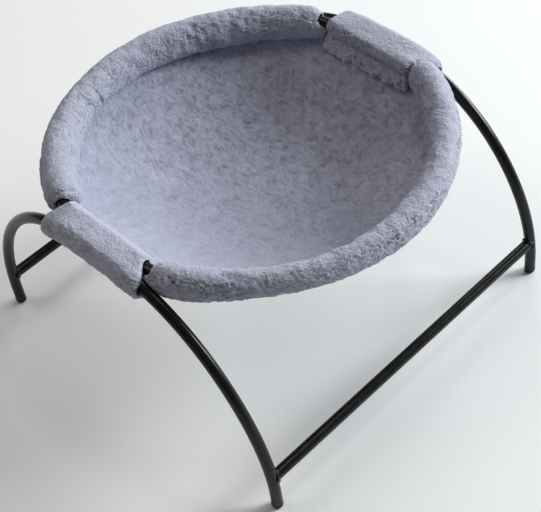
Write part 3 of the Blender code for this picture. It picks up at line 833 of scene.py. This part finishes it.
def hoop_reach(angle):
    """Distance from the middle to the hoop's centreline, at an angle from the +X axis."""
    cosine, sine = np.abs(np.cos(angle)), np.abs(np.sin(angle))
    bend_x = HOOP_SIDE_X - HOOP_BEND_RADIUS
    bend_y = math.sqrt((HOOP_RADIUS - HOOP_BEND_RADIUS) ** 2 - bend_x**2)
    along = bend_x * cosine + bend_y * sine
    inner = along**2 - bend_x**2 - bend_y**2 + HOOP_BEND_RADIUS**2
    reach = along + np.sqrt(np.maximum(inner, 0))
    reach = np.where(sine * HOOP_SIDE_X <= bend_y * cosine, HOOP_SIDE_X / np.maximum(cosine, 1e-9), reach)
    return np.where(sine * bend_x >= bend_y * cosine, HOOP_RADIUS, reach)


def hoop_points(angle):
    reach = hoop_reach(angle)
    return np.stack([reach * np.cos(angle), reach * np.sin(angle), np.full_like(reach, HOOP_HEIGHT)], axis=-1)


def hoop_line(end, left_y, right_y, step):
    """Evenly spaced centreline of one half of the hoop, from left to right, with its direction and length."""
    fine = hoop_points(ENDS[end] * np.linspace(math.pi, 0, HOOP_SAMPLES))
    started = np.argmax(np.abs(fine[:, 1]) >= left_y)
    ended = len(fine) - np.argmax(np.abs(fine[::-1, 1]) >= right_y)
    fine = fine[started:ended]
    length = length_along(fine)
    even = np.linspace(0, length[-1], int(length[-1] / step) + 1)
    points = read_along(even, length, fine)
    return points, unit(np.gradient(points, axis=0)), even


HOOP_SIDE = hoop_points(np.linspace(0, math.pi / 3, 400))


def hoop_side_x(y):
    """How far out the hoop's side lies, at a place along it."""
    return np.interp(np.abs(y), HOOP_SIDE[:, 1], HOOP_SIDE[:, 0])


def make_hoop_half(end):
    points, tangents, _ = hoop_line(end, BUTT_GAP, BUTT_GAP, TUBE_STEP)
    make_tube(f"{end}_hoop_tube", points, tangents, UP, f"{end}_hoop_half")


# Rim covers


def drawn_in(distance, rounding, scale):
    """A factor that draws a roll in towards its end."""
    left = 1 - np.clip(distance / rounding, 0, 1)
    return scale + (1 - scale) * np.sqrt(1 - left**2)


def rim_section(end, points):
    """Middle and half-widths of the roll at each point of the hoop's line, smoothed along it."""
    degrees = np.degrees(np.arctan2(np.abs(points[:, 1]), points[:, 0]))
    stations = np.array(RIM_STATIONS[end])
    window = np.hanning(int(STATION_BLEND / PILE_CELL) * 2 + 1)
    window /= window.sum()
    pad = len(window) // 2
    values = []
    for column in stations.T[1:]:
        along = np.interp(degrees, stations[:, 0], column) / 1000
        values.append(np.convolve(np.pad(along, pad, mode="edge"), window, mode="valid"))
    return values


def arch_height(y):
    past = np.clip(np.abs(y) - TOP_BAR_HALF, 0, UPPER_BEND_RADIUS)
    return ARCH_TOP - UPPER_BEND_RADIUS + np.sqrt(UPPER_BEND_RADIUS**2 - past**2)


def distance_to_arch(points):
    past = np.clip(np.abs(points[..., 1]) - TOP_BAR_HALF, 0, UPPER_BEND_RADIUS * 0.98)
    level = np.sqrt(1 - (past / UPPER_BEND_RADIUS) ** 2)
    across = np.abs(points[..., 0]) - ARCH_X
    above = (points[..., 2] - arch_height(points[..., 1])) * level
    return np.hypot(across, above)


def stop_at_arch(centres, rings, clearance):
    """Shortens each spoke of a roll to where it first comes this near to an arch's centreline."""
    shares = np.linspace(0, 1, 25)
    spokes = rings - centres
    reached = np.ones(rings.shape[:-1])
    before = distance_to_arch(np.broadcast_to(centres, rings.shape))
    for share, after in zip(shares, shares[1:]):
        now = distance_to_arch(centres + after * spokes)
        first = (reached == 1) & (now < clearance) & (before >= clearance)
        part = (before - clearance) / np.maximum(before - now, 1e-9)
        reached = np.where(first, share + (after - share) * np.clip(part, 0, 1), reached)
        before = now
    return centres + spokes * reached[..., None]


def rest_height(points):
    """The sling's height under each place where the rim rests on it, or far below elsewhere."""
    reach = hoop_reach(np.arctan2(points[..., 1], points[..., 0]))
    away = np.hypot(points[..., 0], points[..., 1])
    return np.where(away < reach + SLING_INSET, sling_surface(points[..., 0], points[..., 1]), -1.0)


def keep_clear(centres, rings, depth):
    """Holds a roll off the arches and the sling. Depth is how far inside the roll's surface the rings lie."""
    rings = stop_at_arch(centres, rings, TUBE_RADIUS + ARCH_CLEARANCE + depth)
    rings[..., 2] = np.maximum(rings[..., 2], rest_height(rings) + SLING_CLEARANCE + depth)
    return rings


def settle_cloth(rings):
    """A cover's rings after a cloth simulation.

    Its fabric is long for its roll, and the filling pushes out."""
    rows, columns = rings.shape[:2]
    faces = grid_faces(rows, columns, around=True)
    trial = new_mesh("cloth_trial", rings.reshape(-1, 3), faces, "curly_fleece")
    held = trial.vertex_groups.new(name="held")
    for first, last, weight in ((0, 2, 1.0), (2, rows - 2, CLOTH_HOLD), (rows - 2, rows, 1.0)):
        held.add(range(first * columns, last * columns), weight, "REPLACE")
    cloth = trial.modifiers.new("cloth", "CLOTH")
    for name, value in CLOTH_SETTINGS.items():
        setattr(cloth.settings, name, value)
    cloth.settings.vertex_group_mass = "held"
    cloth.settings.effector_weights.gravity = 0
    cloth.point_cache.frame_start = 1
    cloth.point_cache.frame_end = CLOTH_FRAMES
    for frame_number in range(1, CLOTH_FRAMES + 1):
        bpy.context.scene.frame_set(frame_number)
    settled = get_vectors(trial.evaluated_get(bpy.context.evaluated_depsgraph_get()), "co")
    mesh = trial.data
    bpy.data.objects.remove(trial)
    bpy.data.meshes.remove(mesh)
    bpy.context.scene.frame_set(1)
    return settled.reshape(rings.shape)


def settled_folds(rings):
    """How far each point of a cover moves into its folds, from a simulation on a coarser grid."""
    rows, sides = rings.shape[:2]
    count = rows // CLOTH_STRIDE
    picked = np.linspace(0, rows - 1, count).round().astype(int)
    coarse = rings[picked][:, ::CLOTH_STRIDE]
    moved = settle_cloth(coarse) - coarse
    moved -= moved.mean(axis=0)
    length = np.linalg.norm(moved, axis=-1, keepdims=True)
    moved *= np.minimum(1, CLOTH_LIMIT / np.maximum(length, 1e-9))
    moved = refined(moved, np.linspace(0, count - 1, rows))
    return refined(moved.transpose(1, 0, 2), np.arange(sides) / CLOTH_STRIDE, around=True).transpose(1, 0, 2)


def crease(along, seed):
    """Depth from 0 to 1 of soft creases across the cover, where its fabric gathers inside the bend."""
    line = np.stack([along / CREASE_SPACING, np.full_like(along, seed), np.zeros_like(along)], axis=1)
    fold = 1 - np.minimum(1, 3.4 * np.abs(lattice_noise(line, seed + 2)))
    gather = 0.5 + 0.5 * lattice_noise(line * (0.35, 1, 1), seed + 3)
    return smooth_step(0.2, 1.0, fold) * smooth_step(0.35, 0.75, gather)


def tongue_shift(end, along, tangents, inward, spokes):
    """How far each point of a cover moves along the hoop, where part of an end reaches on past the rest."""
    shift = np.zeros_like(spokes)
    for side, away in (("left", along), ("right", along[-1] - along)):
        reach, facing_in, facing_up = END_TONGUES.get((end, side), (0, 0, -1))
        part = np.clip(facing(spokes, unit(inward * facing_in + UP * facing_up)) + 0.2, 0, 1)
        fade = np.exp(-(away / END_TONGUE_FADE) ** 2)
        shift += (SIDES[side] * tangents)[:, None] * (reach * part * fade[:, None])[..., None]
    return shift


def cuff_rings(edge, centre, outward):
    """Rings from the cover's end over its rounded hem to the hoop, and back inside round it."""
    spokes = edge - centre
    reach = np.linalg.norm(spokes, axis=-1, keepdims=True)
    spokes = spokes / reach
    rings = []
    for step in range(1, CUFF_STEPS + 1):
        turn = math.pi / 2 * step / CUFF_STEPS
        radius = reach + (CUFF_RADIUS - reach) * (1 - math.cos(turn))
        rings.append(centre + spokes * radius + outward * CUFF_BULGE * math.sin(turn))
    for depth in CUFF_DEPTHS:
        rings.append(centre + spokes * CUFF_RADIUS + outward * (CUFF_BULGE - depth))
    return np.array(rings)


def make_rim(end, seed):
    """A curly cover round one half of the hoop and its wadding, with soft lumps and creases across it."""
    points, tangents, along = hoop_line(end, *COVER_ENDS_Y[end], PILE_CELL)
    inward = square_to(tangents, unit(-points * (1, 1, 0)))
    inboard, below, slope_half, cross_half = rim_section(end, points)
    centres = points + inward * inboard[:, None] - UP * below[:, None]
    scale = drawn_in(np.minimum(along, along[-1] - along), END_ROUNDING, END_SCALE)
    down_slope = (inward - UP) * math.sqrt(0.5)
    off_slope = (inward + UP) * math.sqrt(0.5)
    sides = int(2 * math.pi * slope_half.mean() / PILE_CELL / CLOTH_STRIDE) * CLOTH_STRIDE
    turn = circle(sides)

    def section(shrink):
        down = (slope_half * scale - shrink)[:, None, None] * np.cos(turn)[None, :, None]
        off = (cross_half * scale - shrink)[:, None, None] * np.sin(turn)[None, :, None]
        return centres[:, None] + down * down_slope[:, None] + off * off_slope[:, None]

    rings = section(0)
    spokes = unit(rings - centres[:, None])
    inner_side = np.clip(facing(spokes, inward) * 0.8 + 0.2, 0, 1)
    lump = layered_noise(rings, RIM_LUMPS, seed) * (0.4 + 0.6 * inner_side)
    creased = CREASE_DEPTHS[end] * crease(along, seed)[:, None] * inner_side
    rings = rings + spokes * (lump - creased)[..., None]
    rings = rings + settled_folds(rings)
    off_seam = slope_half[:, None] * np.arccos(facing(spokes, unit(-UP - SEAM_LEAN * inward)).clip(-1, 1))
    seam = SEAM_DEPTH * (1 - smooth_step(0, SEAM_WIDTH, off_seam))
    rings = rings + spokes * (layered_noise(rings, RIM_DIMPLES, seed + 4) - seam)[..., None]
    shift = tongue_shift(end, along, tangents, inward, spokes)
    rings = keep_clear(centres[:, None] + shift, rings + shift, 0)
    cuffs = [cuff_rings(rings[i], points[i] + shift[i], tangents[i] * sign) for i, sign in ((0, -1), (-1, 1))]
    every = slice(len(points) // (2 * WADDING_RINGS), -1, len(points) // WADDING_RINGS)
    lining = keep_clear(centres[every][:, None], section(COVER_CLOTH)[every], COVER_CLOTH)
    grid = np.concatenate([cuffs[0][::-1], rings, cuffs[1], lining[::-1]])
    cover = make_shell(f"{end}_rim", grid, "curly_fleece")

    shown = len(grid) - len(lining)
    outside = np.arange(len(grid) * sides) < shown * sides
    place = np.linspace(0, along[-1], len(grid))
    place[:shown] = np.arange(shown) * PILE_CELL
    radius = slope_half.mean()
    space = np.broadcast_arrays(place[:, None], radius * np.cos(turn), radius * np.sin(turn))
    raise_fleece(cover, np.stack(space, axis=-1).reshape(-1, 3), outside, seed, RIM_SMOOTHNESS[end])
    finish_piece(cover, "curly_fleece", f"{end}_rim_cover")
    make_wadding(end, points[every], centres[every], lining)


def make_wadding(end, points, centres, lining):
    """The padding between the hoop and the cover's inner face."""
    outer = centres[:, None] + (lining - centres[:, None]) * WADDING_FILL
    inner = points[:, None] + unit(outer - points[:, None]) * WADDING_BORE
    wadding = make_shell(f"{end}_rim_padding", np.concatenate([outer[1:-1], inner[1:-1][::-1]]), "wadding")
    finish_piece(wadding, "wadding", f"{end}_rim_wadding")


# Sling


def sling_grid(cells):
    """Points (x, y) over the sling, as even as a square grid can lie on a round one."""
    side = np.linspace(-1, 1, cells)
    u, v = np.meshgrid(side, side, indexing="ij")
    wide = np.abs(u) > np.abs(v)
    share = np.where(wide, np.abs(u), np.abs(v))
    major, minor = np.where(wide, u, v), np.where(wide, v, u)
    bend = math.pi / 4 * minor / np.where(major == 0, 1, major)
    angle = np.where(wide, bend, math.pi / 2 - bend) + np.where(major < 0, math.pi, 0)
    reach = share * (hoop_reach(angle) - SLING_INSET)
    return reach * np.cos(angle), reach * np.sin(angle)


def sling_surface(x, y):
    """Height of the lining's upper face, with soft folds that deepen near the rim."""
    angle = np.arctan2(y, x)
    share = np.clip(np.hypot(x, y) / (hoop_reach(angle) - SLING_INSET), 0, 1)
    depth = SLING_EDGE - SLING_FLOOR - LINING_THICKNESS
    dish = SLING_EDGE - depth * (1 - share**SLING_FULLNESS)
    line = np.stack([FOLDS_AROUND * np.cos(angle), FOLDS_AROUND * np.sin(angle), share * 0.8], axis=-1)
    folds = FOLD_DEPTHS[0] * lattice_noise(line, 51) + FOLD_DEPTHS[1] * lattice_noise(line * FINE_FOLDS, 52)
    return dish + folds * 4 * share**3 * (1 - share)


def under_sling(side, y, inboard, offset):
    """Places below the lining's upper face, by how far along the hoop's side and inboard of it they are."""
    x = SIDES[side] * (hoop_side_x(y) - inboard)
    return np.stack([x, y, sling_surface(x, y) - offset], axis=-1)


def make_sling_sheet(name, cells, offset, thickness, material):
    x, y = sling_grid(cells)
    top = np.stack([x, y, sling_surface(x, y) - offset], axis=-1)
    sheet = make_pillow(name, top, top - UP * thickness, material)
    return sheet


def make_sling():
    lining = make_sling_sheet("sling_plush", SLING_CELLS, 0, LINING_THICKNESS, "plush")
    upper = np.arange(len(lining.data.vertices)) < SLING_CELLS**2
    points = get_vectors(lining, "co")
    upright = smooth_step(-0.12, 0.08, points[:, 0] + 0.3 * points[:, 1])
    # The nap is stroked flat towards the front left, and stands up towards the rear right.
    relief = 0.52 + (plush_relief(points, 61) - 0.50) * (0.45 + 0.65 * upright)
    raise_pile(lining, relief, upper * PLUSH_HEIGHT, 0.5)
    keep_pile(lining, relief)
    finish_piece(lining, "plush", "sling_lining")
    sewn_on = stitch_sling() + [make_tape(side, "loop") for side in SIDES]
    offset = LINING_THICKNESS + LAYER_GAP
    backing = make_sling_sheet(
        "sling_underside", BACKING_CELLS, offset, BACKING_THICKNESS, "woven_backing"
    )
    finish_piece(backing, "woven_backing", "sling_backing")


# Wraps


def roll_round(out, height, radius, turns, steps):
    """Places round a tube, between two turns in degrees. Out is how far outboard of the hoop it lies."""
    return [(radius * math.cos(turn) - out, height + radius * math.sin(turn))
            for turn in np.radians(np.linspace(*turns, steps))]


def tongue_line(on_sling, bend, start, offset):
    """Places of one face of a tongue, from its bend round the sling's edge to its end."""
    return [(bend, SLING_EDGE - offset)] + [on_sling(inboard, -offset) for inboard in (start, *TONGUE_PLACES)]


def long_skirt(on_sling, reach, over_hoop):
    """Both faces of the left wrap, from its hem on the sling to the top of the hoop."""
    outer = [on_sling(reach * share, SKIRT_GAP + thick) for share, thick in LONG_SKIRT]
    outer += roll_round(0, HOOP_HEIGHT, over_hoop, OUTER_TURNS["hoop"], 5)
    return outer, [on_sling(reach * share, SKIRT_GAP) for share in LONG_SKIRT_UNDERSIDE]


def short_skirt(on_sling, reach, over_hoop, shoulder):
    """Both faces of the right wrap, from its hem over the groove and shoulder to the top of the hoop."""
    groove = shoulder - GROOVE_DEPTH
    outer = [on_sling(reach + inboard, above) for inboard, above in HEM_LINE]
    outer += [(reach + HEM_TOP, SLING_EDGE)]
    outer += [(groove + inboard, HOOP_HEIGHT + above) for inboard, above in GROOVE_LINE]
    outer += [(shoulder + inboard, HOOP_HEIGHT + above) for inboard, above in SHOULDER_LINE]
    outer += [(shoulder + inboard, HOOP_HEIGHT + over_hoop * share) for inboard, share in SHOULDER_TOP]
    outer += [(CREST_X, HOOP_HEIGHT + over_hoop)]
    inner = [on_sling(reach + HEM_UNDERSIDE[0], HEM_UNDERSIDE[1])]
    inner += [(inboard, HOOP_HEIGHT + above) for inboard, above in GROOVE_UNDERSIDE]
    return outer, inner


def wrap_sections(side, y, arch_y, scale, reach):
    """Outer and inner lines of a wrap's section, from its hem in the bowl round to its tongue below.

    Each is a line of (inboard, height) places, made into points that slant from y to arch_y."""
    sign = SIDES[side]
    hoop_x = float(hoop_side_x(y))
    arch_out = ARCH_X - hoop_x
    arch_z = float(arch_height(arch_y))

    def on_sling(inboard, above):
        return (inboard, float(sling_surface(sign * (hoop_x - inboard), y)) + above)

    if side == "left":
        outer, inner = long_skirt(on_sling, reach, ROLL_OVER_HOOP * scale)
    else:
        shoulder = float(np.interp(y, *SHOULDER_WIDTHS)) * scale
        outer, inner = short_skirt(on_sling, reach, ROLL_OVER_HOOP * scale, shoulder)
    outer += roll_round(arch_out, arch_z, ROLL_OVER_ARCH * scale, OUTER_TURNS["arch"], 7)
    outer += tongue_line(on_sling, -0.008, 0.006, TONGUE_OFFSET + TONGUE_THICKNESS)
    inner += roll_round(0, HOOP_HEIGHT, WRAP_HOLLOW, INNER_TURNS["hoop"], 5)
    inner += roll_round(arch_out, arch_z, WRAP_HOLLOW, INNER_TURNS["arch"], 7)
    inner += tongue_line(on_sling, -0.002, 0.008, TONGUE_OFFSET)
    lines = []
    for places in (outer, inner):
        line = smooth_path(places, WRAP_COLUMNS)
        slant = np.clip(-line[:, 0] / arch_out, 0, 1)
        lines.append(np.stack([sign * (hoop_x - line[:, 0]), y + slant * (arch_y - y), line[:, 1]], axis=1))
    return lines


def make_wrap(side, seed):
    """A fleece flap with a skirt in the bowl, that goes over hoop and arch and back under the sling."""
    hoop_front, hoop_rear = WRAPS[side]["hoop"]
    arch_front, arch_rear = WRAPS[side]["arch"]
    rows = int((hoop_rear - hoop_front) / PILE_CELL)
    shares = np.arange(rows + 1) / rows
    ys = hoop_front + shares * (hoop_rear - hoop_front)
    ragged = noise_on_line(ys, RAGGED_NOTCHES, seed + 5)
    top, bottom = [], []
    for share, y, rag in zip(shares, ys, ragged):
        arch_y = arch_front + share * (arch_rear - arch_front)
        slacks = (y - hoop_front, hoop_rear - y)
        front, rear = (drawn_in(*pair) for pair in zip(slacks, [WRAP_END_ROUNDING] * 2, WRAPS[side]["ends"]))
        reach = WRAPS[side]["skirt"] + rag * SKIRT_RAGGED * (side == "right")
        outer, inner = wrap_sections(side, y, arch_y, float(front * rear), reach)
        # The pile closes over the edges: both faces meet nearer the inner one.
        left = 1 - min(1, min(slacks) / WRAP_EDGE)
        thick = math.sqrt(1 - left**2)
        meet = inner + EDGE_MEETING * (outer - inner)
        top.append(meet + (outer - meet) * thick)
        bottom.append(meet + (inner - meet) * thick)
    top, bottom = np.array(top), np.array(bottom)
    if side == "right":
        top += hem_fluff(top, seed)
    for face in (top, bottom):
        face += layered_noise(face, WRAP_LUMPS, seed)[..., None] * UP
    wrap = make_pillow(f"{side}_wrap_flap", top, bottom, "curly_fleece")

    outside = np.arange(len(wrap.data.vertices)) < len(top) * WRAP_COLUMNS
    column = np.tile(np.arange(WRAP_COLUMNS), 2 * len(top)) / WRAP_COLUMNS
    if side == "left":
        smoothed = 1 - smooth_step(*SMOOTH_SPAN, column)
        # Painted light: the lit top of the left wrap is coloured lighter.
        painted_light = TOP_PAINTED_LIGHT * (smooth_step(*TOP_SPANS[0], column) * (1 - smooth_step(*TOP_SPANS[1], column)))
    else:
        smoothed = 0.0
        # Painted light: the right wrap's hem is coloured lighter.
        painted_light = HEM_PAINTED_LIGHT * (1 - smooth_step(*SKIRT_SPAN, column))
    run = float(np.linalg.norm(np.diff(top, axis=1), axis=-1).sum(axis=1).mean())
    space = np.stack([np.tile(np.repeat(ys, WRAP_COLUMNS), 2), column * run, 0 * column], axis=1)
    outside = outside * (0.5 + 0.5 * smooth_step(*HEM_SPAN, column))
    raise_fleece(wrap, space, outside, seed, smoothed, painted_light)
    make_tape(side, "hook")
    stitch_tongue(side)
    finish_piece(wrap, "curly_fleece", f"{side}_wrap")


def hem_fluff(top, seed):
    """How far the upper face moves into the curls of the pile at its raw hem."""
    drift = SKIRT_CURL / 2 * noise_vector(top / SKIRT_CURL, seed + 12)
    fluff = smooth_step(-0.55, 0.75, lattice_noise((top + drift) / SKIRT_CURL, seed + 9))
    fade = 1 - smooth_step(*SKIRT_CURL_SPAN, np.arange(WRAP_COLUMNS) / WRAP_COLUMNS)
    return (fluff * fade * SKIRT_CURL_HEIGHT)[..., None] * unit(FLUFF_SIDE)


# Tapes and stitches


def make_tape(side, kind):
    """A tape of the closure under the sling's edge, with its face of fine hooks or loops."""
    low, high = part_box(f"{side}_{kind}_strip")
    ys = np.linspace(low.y, high.y, TAPE_CELLS[0])
    inboard = STRIP_START + STRIP_WIDTH * np.linspace(0, 1, TAPE_CELLS[1])
    y, across = np.meshgrid(ys, inboard, indexing="ij")
    top = under_sling(side, y, across, TAPE_OFFSETS[kind])
    edge = np.minimum(across - STRIP_START, STRIP_START + STRIP_WIDTH - across)
    bevel = TAPE_BEVEL[0] * (1 - smooth_step(0, TAPE_BEVEL[1], edge))
    nap = TAPE_NAP[0] * lattice_noise(top / TAPE_NAP[1], 7)
    bottom = top - UP * (STRIP_THICKNESS - bevel)[..., None]
    top = top + UP * (nap - bevel)[..., None]
    tape = make_pillow(f"{side}_{kind}_tape", top, bottom, f"{kind}_tape")
    return finish_piece(tape, f"{kind}_tape", f"{side}_{kind}_strip")


def make_stitches(name, line, slot):
    """A row of raised thread stitches along a line, sunk a little into the cloth, which faces down."""
    length = length_along(line)
    share = np.linspace(0, 1, STITCH_RINGS)
    turn = circle(STITCH_SIDES)
    rise = STITCH_RADIUS * (0.9 * np.sin(math.pi * share) - 0.4)
    radius = STITCH_RADIUS * np.sqrt(np.clip(1 - (2 * share - 1) ** 4, 0.02, 1))
    points, faces = [], []
    for index in range(int(length[-1] / STITCH_PITCH)):
        centre = read_along((index + share * STITCH_SHARE) * STITCH_PITCH, length, line)
        beside = unit(np.cross(-UP, unit(centre[-1] - centre[0])))
        spokes = wheel(turn, beside, -UP)
        points.append((centre - UP * rise[:, None])[:, None] + radius[:, None, None] * spokes)
        first = index * STITCH_RINGS * STITCH_SIDES
        last = first + (STITCH_RINGS - 1) * STITCH_SIDES
        faces += [tuple(face) for face in grid_faces(STITCH_RINGS, STITCH_SIDES, first, around=True)]
        faces += [tuple(range(first, first + STITCH_SIDES))[::-1], tuple(range(last, last + STITCH_SIDES))]
    stitches = new_mesh(name, np.array(points).reshape(-1, 3), faces, "thread")
    return finish_piece(stitches, slot)


def stitch_sling():
    """Two rows of stitches near the sling's edge, where its layers are joined."""
    angles = np.linspace(0, 2 * math.pi, 721)
    rows = []
    for number, inset in enumerate(SLING_STITCH_INSETS):
        reach = hoop_reach(angles) - SLING_INSET - inset
        x, y = reach * np.cos(angles), reach * np.sin(angles)
        z = sling_surface(x, y) - LINING_THICKNESS - LAYER_GAP - BACKING_THICKNESS
        line = np.stack([x, y, z], axis=1)
        rows.append(make_stitches(f"sling_edge_stitches_{number + 1}", line, "woven_backing"))
    return rows


def stitch_tongue(side):
    """Stitches round the tape on the underside of a wrap's tongue."""
    low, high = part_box(f"{side}_hook_strip")
    near, far = TONGUE_STITCHES
    corners = [(low.y, near), (high.y, near), (high.y, far), (low.y, far), (low.y, near)]
    share = np.linspace(0, 1, 60, endpoint=False)
    places = []
    for (y, inboard), (next_y, next_inboard) in zip(corners, corners[1:]):
        places += list(zip(y + share * (next_y - y), inboard + share * (next_inboard - inboard)))
    line = under_sling(side, *np.array(places).T, TONGUE_OFFSET + TONGUE_THICKNESS)
    return make_stitches(f"{side}_tongue_stitches", line, "curly_fleece")


# Stage


def make_floor():
    bpy.ops.mesh.primitive_plane_add(size=FLOOR_SIZE, location=(0, 0, 0))
    floor = bpy.context.object
    floor.name = "floor"
    floor.data.materials.append(MATERIALS["floor"])


def add_light(name, azimuth, elevation, width, power, colour):
    """A square softbox aimed at the hammock."""
    light = bpy.data.lights.new(name, "AREA")
    light.size = width
    light.energy = power
    light.color = colour
    lamp = bpy.data.objects.new(name, light)
    bpy.context.scene.collection.objects.link(lamp)
    turn, rise = math.radians(azimuth), math.radians(elevation)
    direction = Vector((math.cos(turn) * math.cos(rise), math.sin(turn) * math.cos(rise), math.sin(rise)))
    lamp.location = direction * LIGHT_DISTANCE + Vector((0, 0, HOOP_HEIGHT))
    lamp.rotation_mode = "QUATERNION"
    lamp.rotation_quaternion = direction.to_track_quat("Z", "Y")


def light_scene():
    scene = bpy.context.scene
    scene.view_settings.view_transform = "Standard"
    world = bpy.data.worlds.new("studio")
    world.use_nodes = True
    world.node_tree.nodes["Background"].inputs["Color"].default_value = (1, 1, 1, 1)
    world.node_tree.nodes["Background"].inputs["Strength"].default_value = WORLD_STRENGTH
    scene.world = world
    for light in LIGHTS:
        add_light(*light)


def make_camera():
    level = math.cos(CAMERA_PITCH)
    back = Vector((math.sin(CAMERA_YAW) * level, -math.cos(CAMERA_YAW) * level, math.sin(CAMERA_PITCH)))
    right = Vector((math.cos(CAMERA_YAW), math.sin(CAMERA_YAW), 0))
    up = back.cross(right)
    tilted_right = right * math.cos(CAMERA_ROLL) + up * math.sin(CAMERA_ROLL)
    tilted_up = up * math.cos(CAMERA_ROLL) - right * math.sin(CAMERA_ROLL)
    data = bpy.data.cameras.new("camera")
    data.lens = CAMERA_LENS
    data.sensor_width = CAMERA_SENSOR
    data.shift_x = -HALF_PIXEL
    data.shift_y = HALF_PIXEL
    camera = bpy.data.objects.new("camera", data)
    bpy.context.scene.collection.objects.link(camera)
    axes = Matrix((tilted_right, tilted_up, back)).transposed()
    camera.matrix_world = Matrix.Translation(CAMERA_TARGET + back * CAMERA_DISTANCE) @ axes.to_4x4()
    bpy.context.scene.camera = camera


def dress_hidden_nodes():
    """The pieces inside the tubes and covers keep their CAD shape."""
    slots = {entry["node"]: entry["material_slot"] for entry in frame["record"]["subparts"]}
    for name, obj in frame["nodes"].items():
        if not obj.hide_render:
            obj.data.materials.clear()
            obj.data.materials.append(MATERIALS[slots[name]])


def build():
    make_camera()
    light_scene()
    make_floor()
    for end in ENDS:
        for side in SIDES:
            make_leg(side, end)
            make_foot(side, end)
        make_crossbar(end)
        make_hoop_half(end)
    make_rim("front", 100)
    make_rim("rear", 200)
    make_sling()
    make_wrap("left", 300)
    make_wrap("right", 400)
    dress_hidden_nodes()


build()
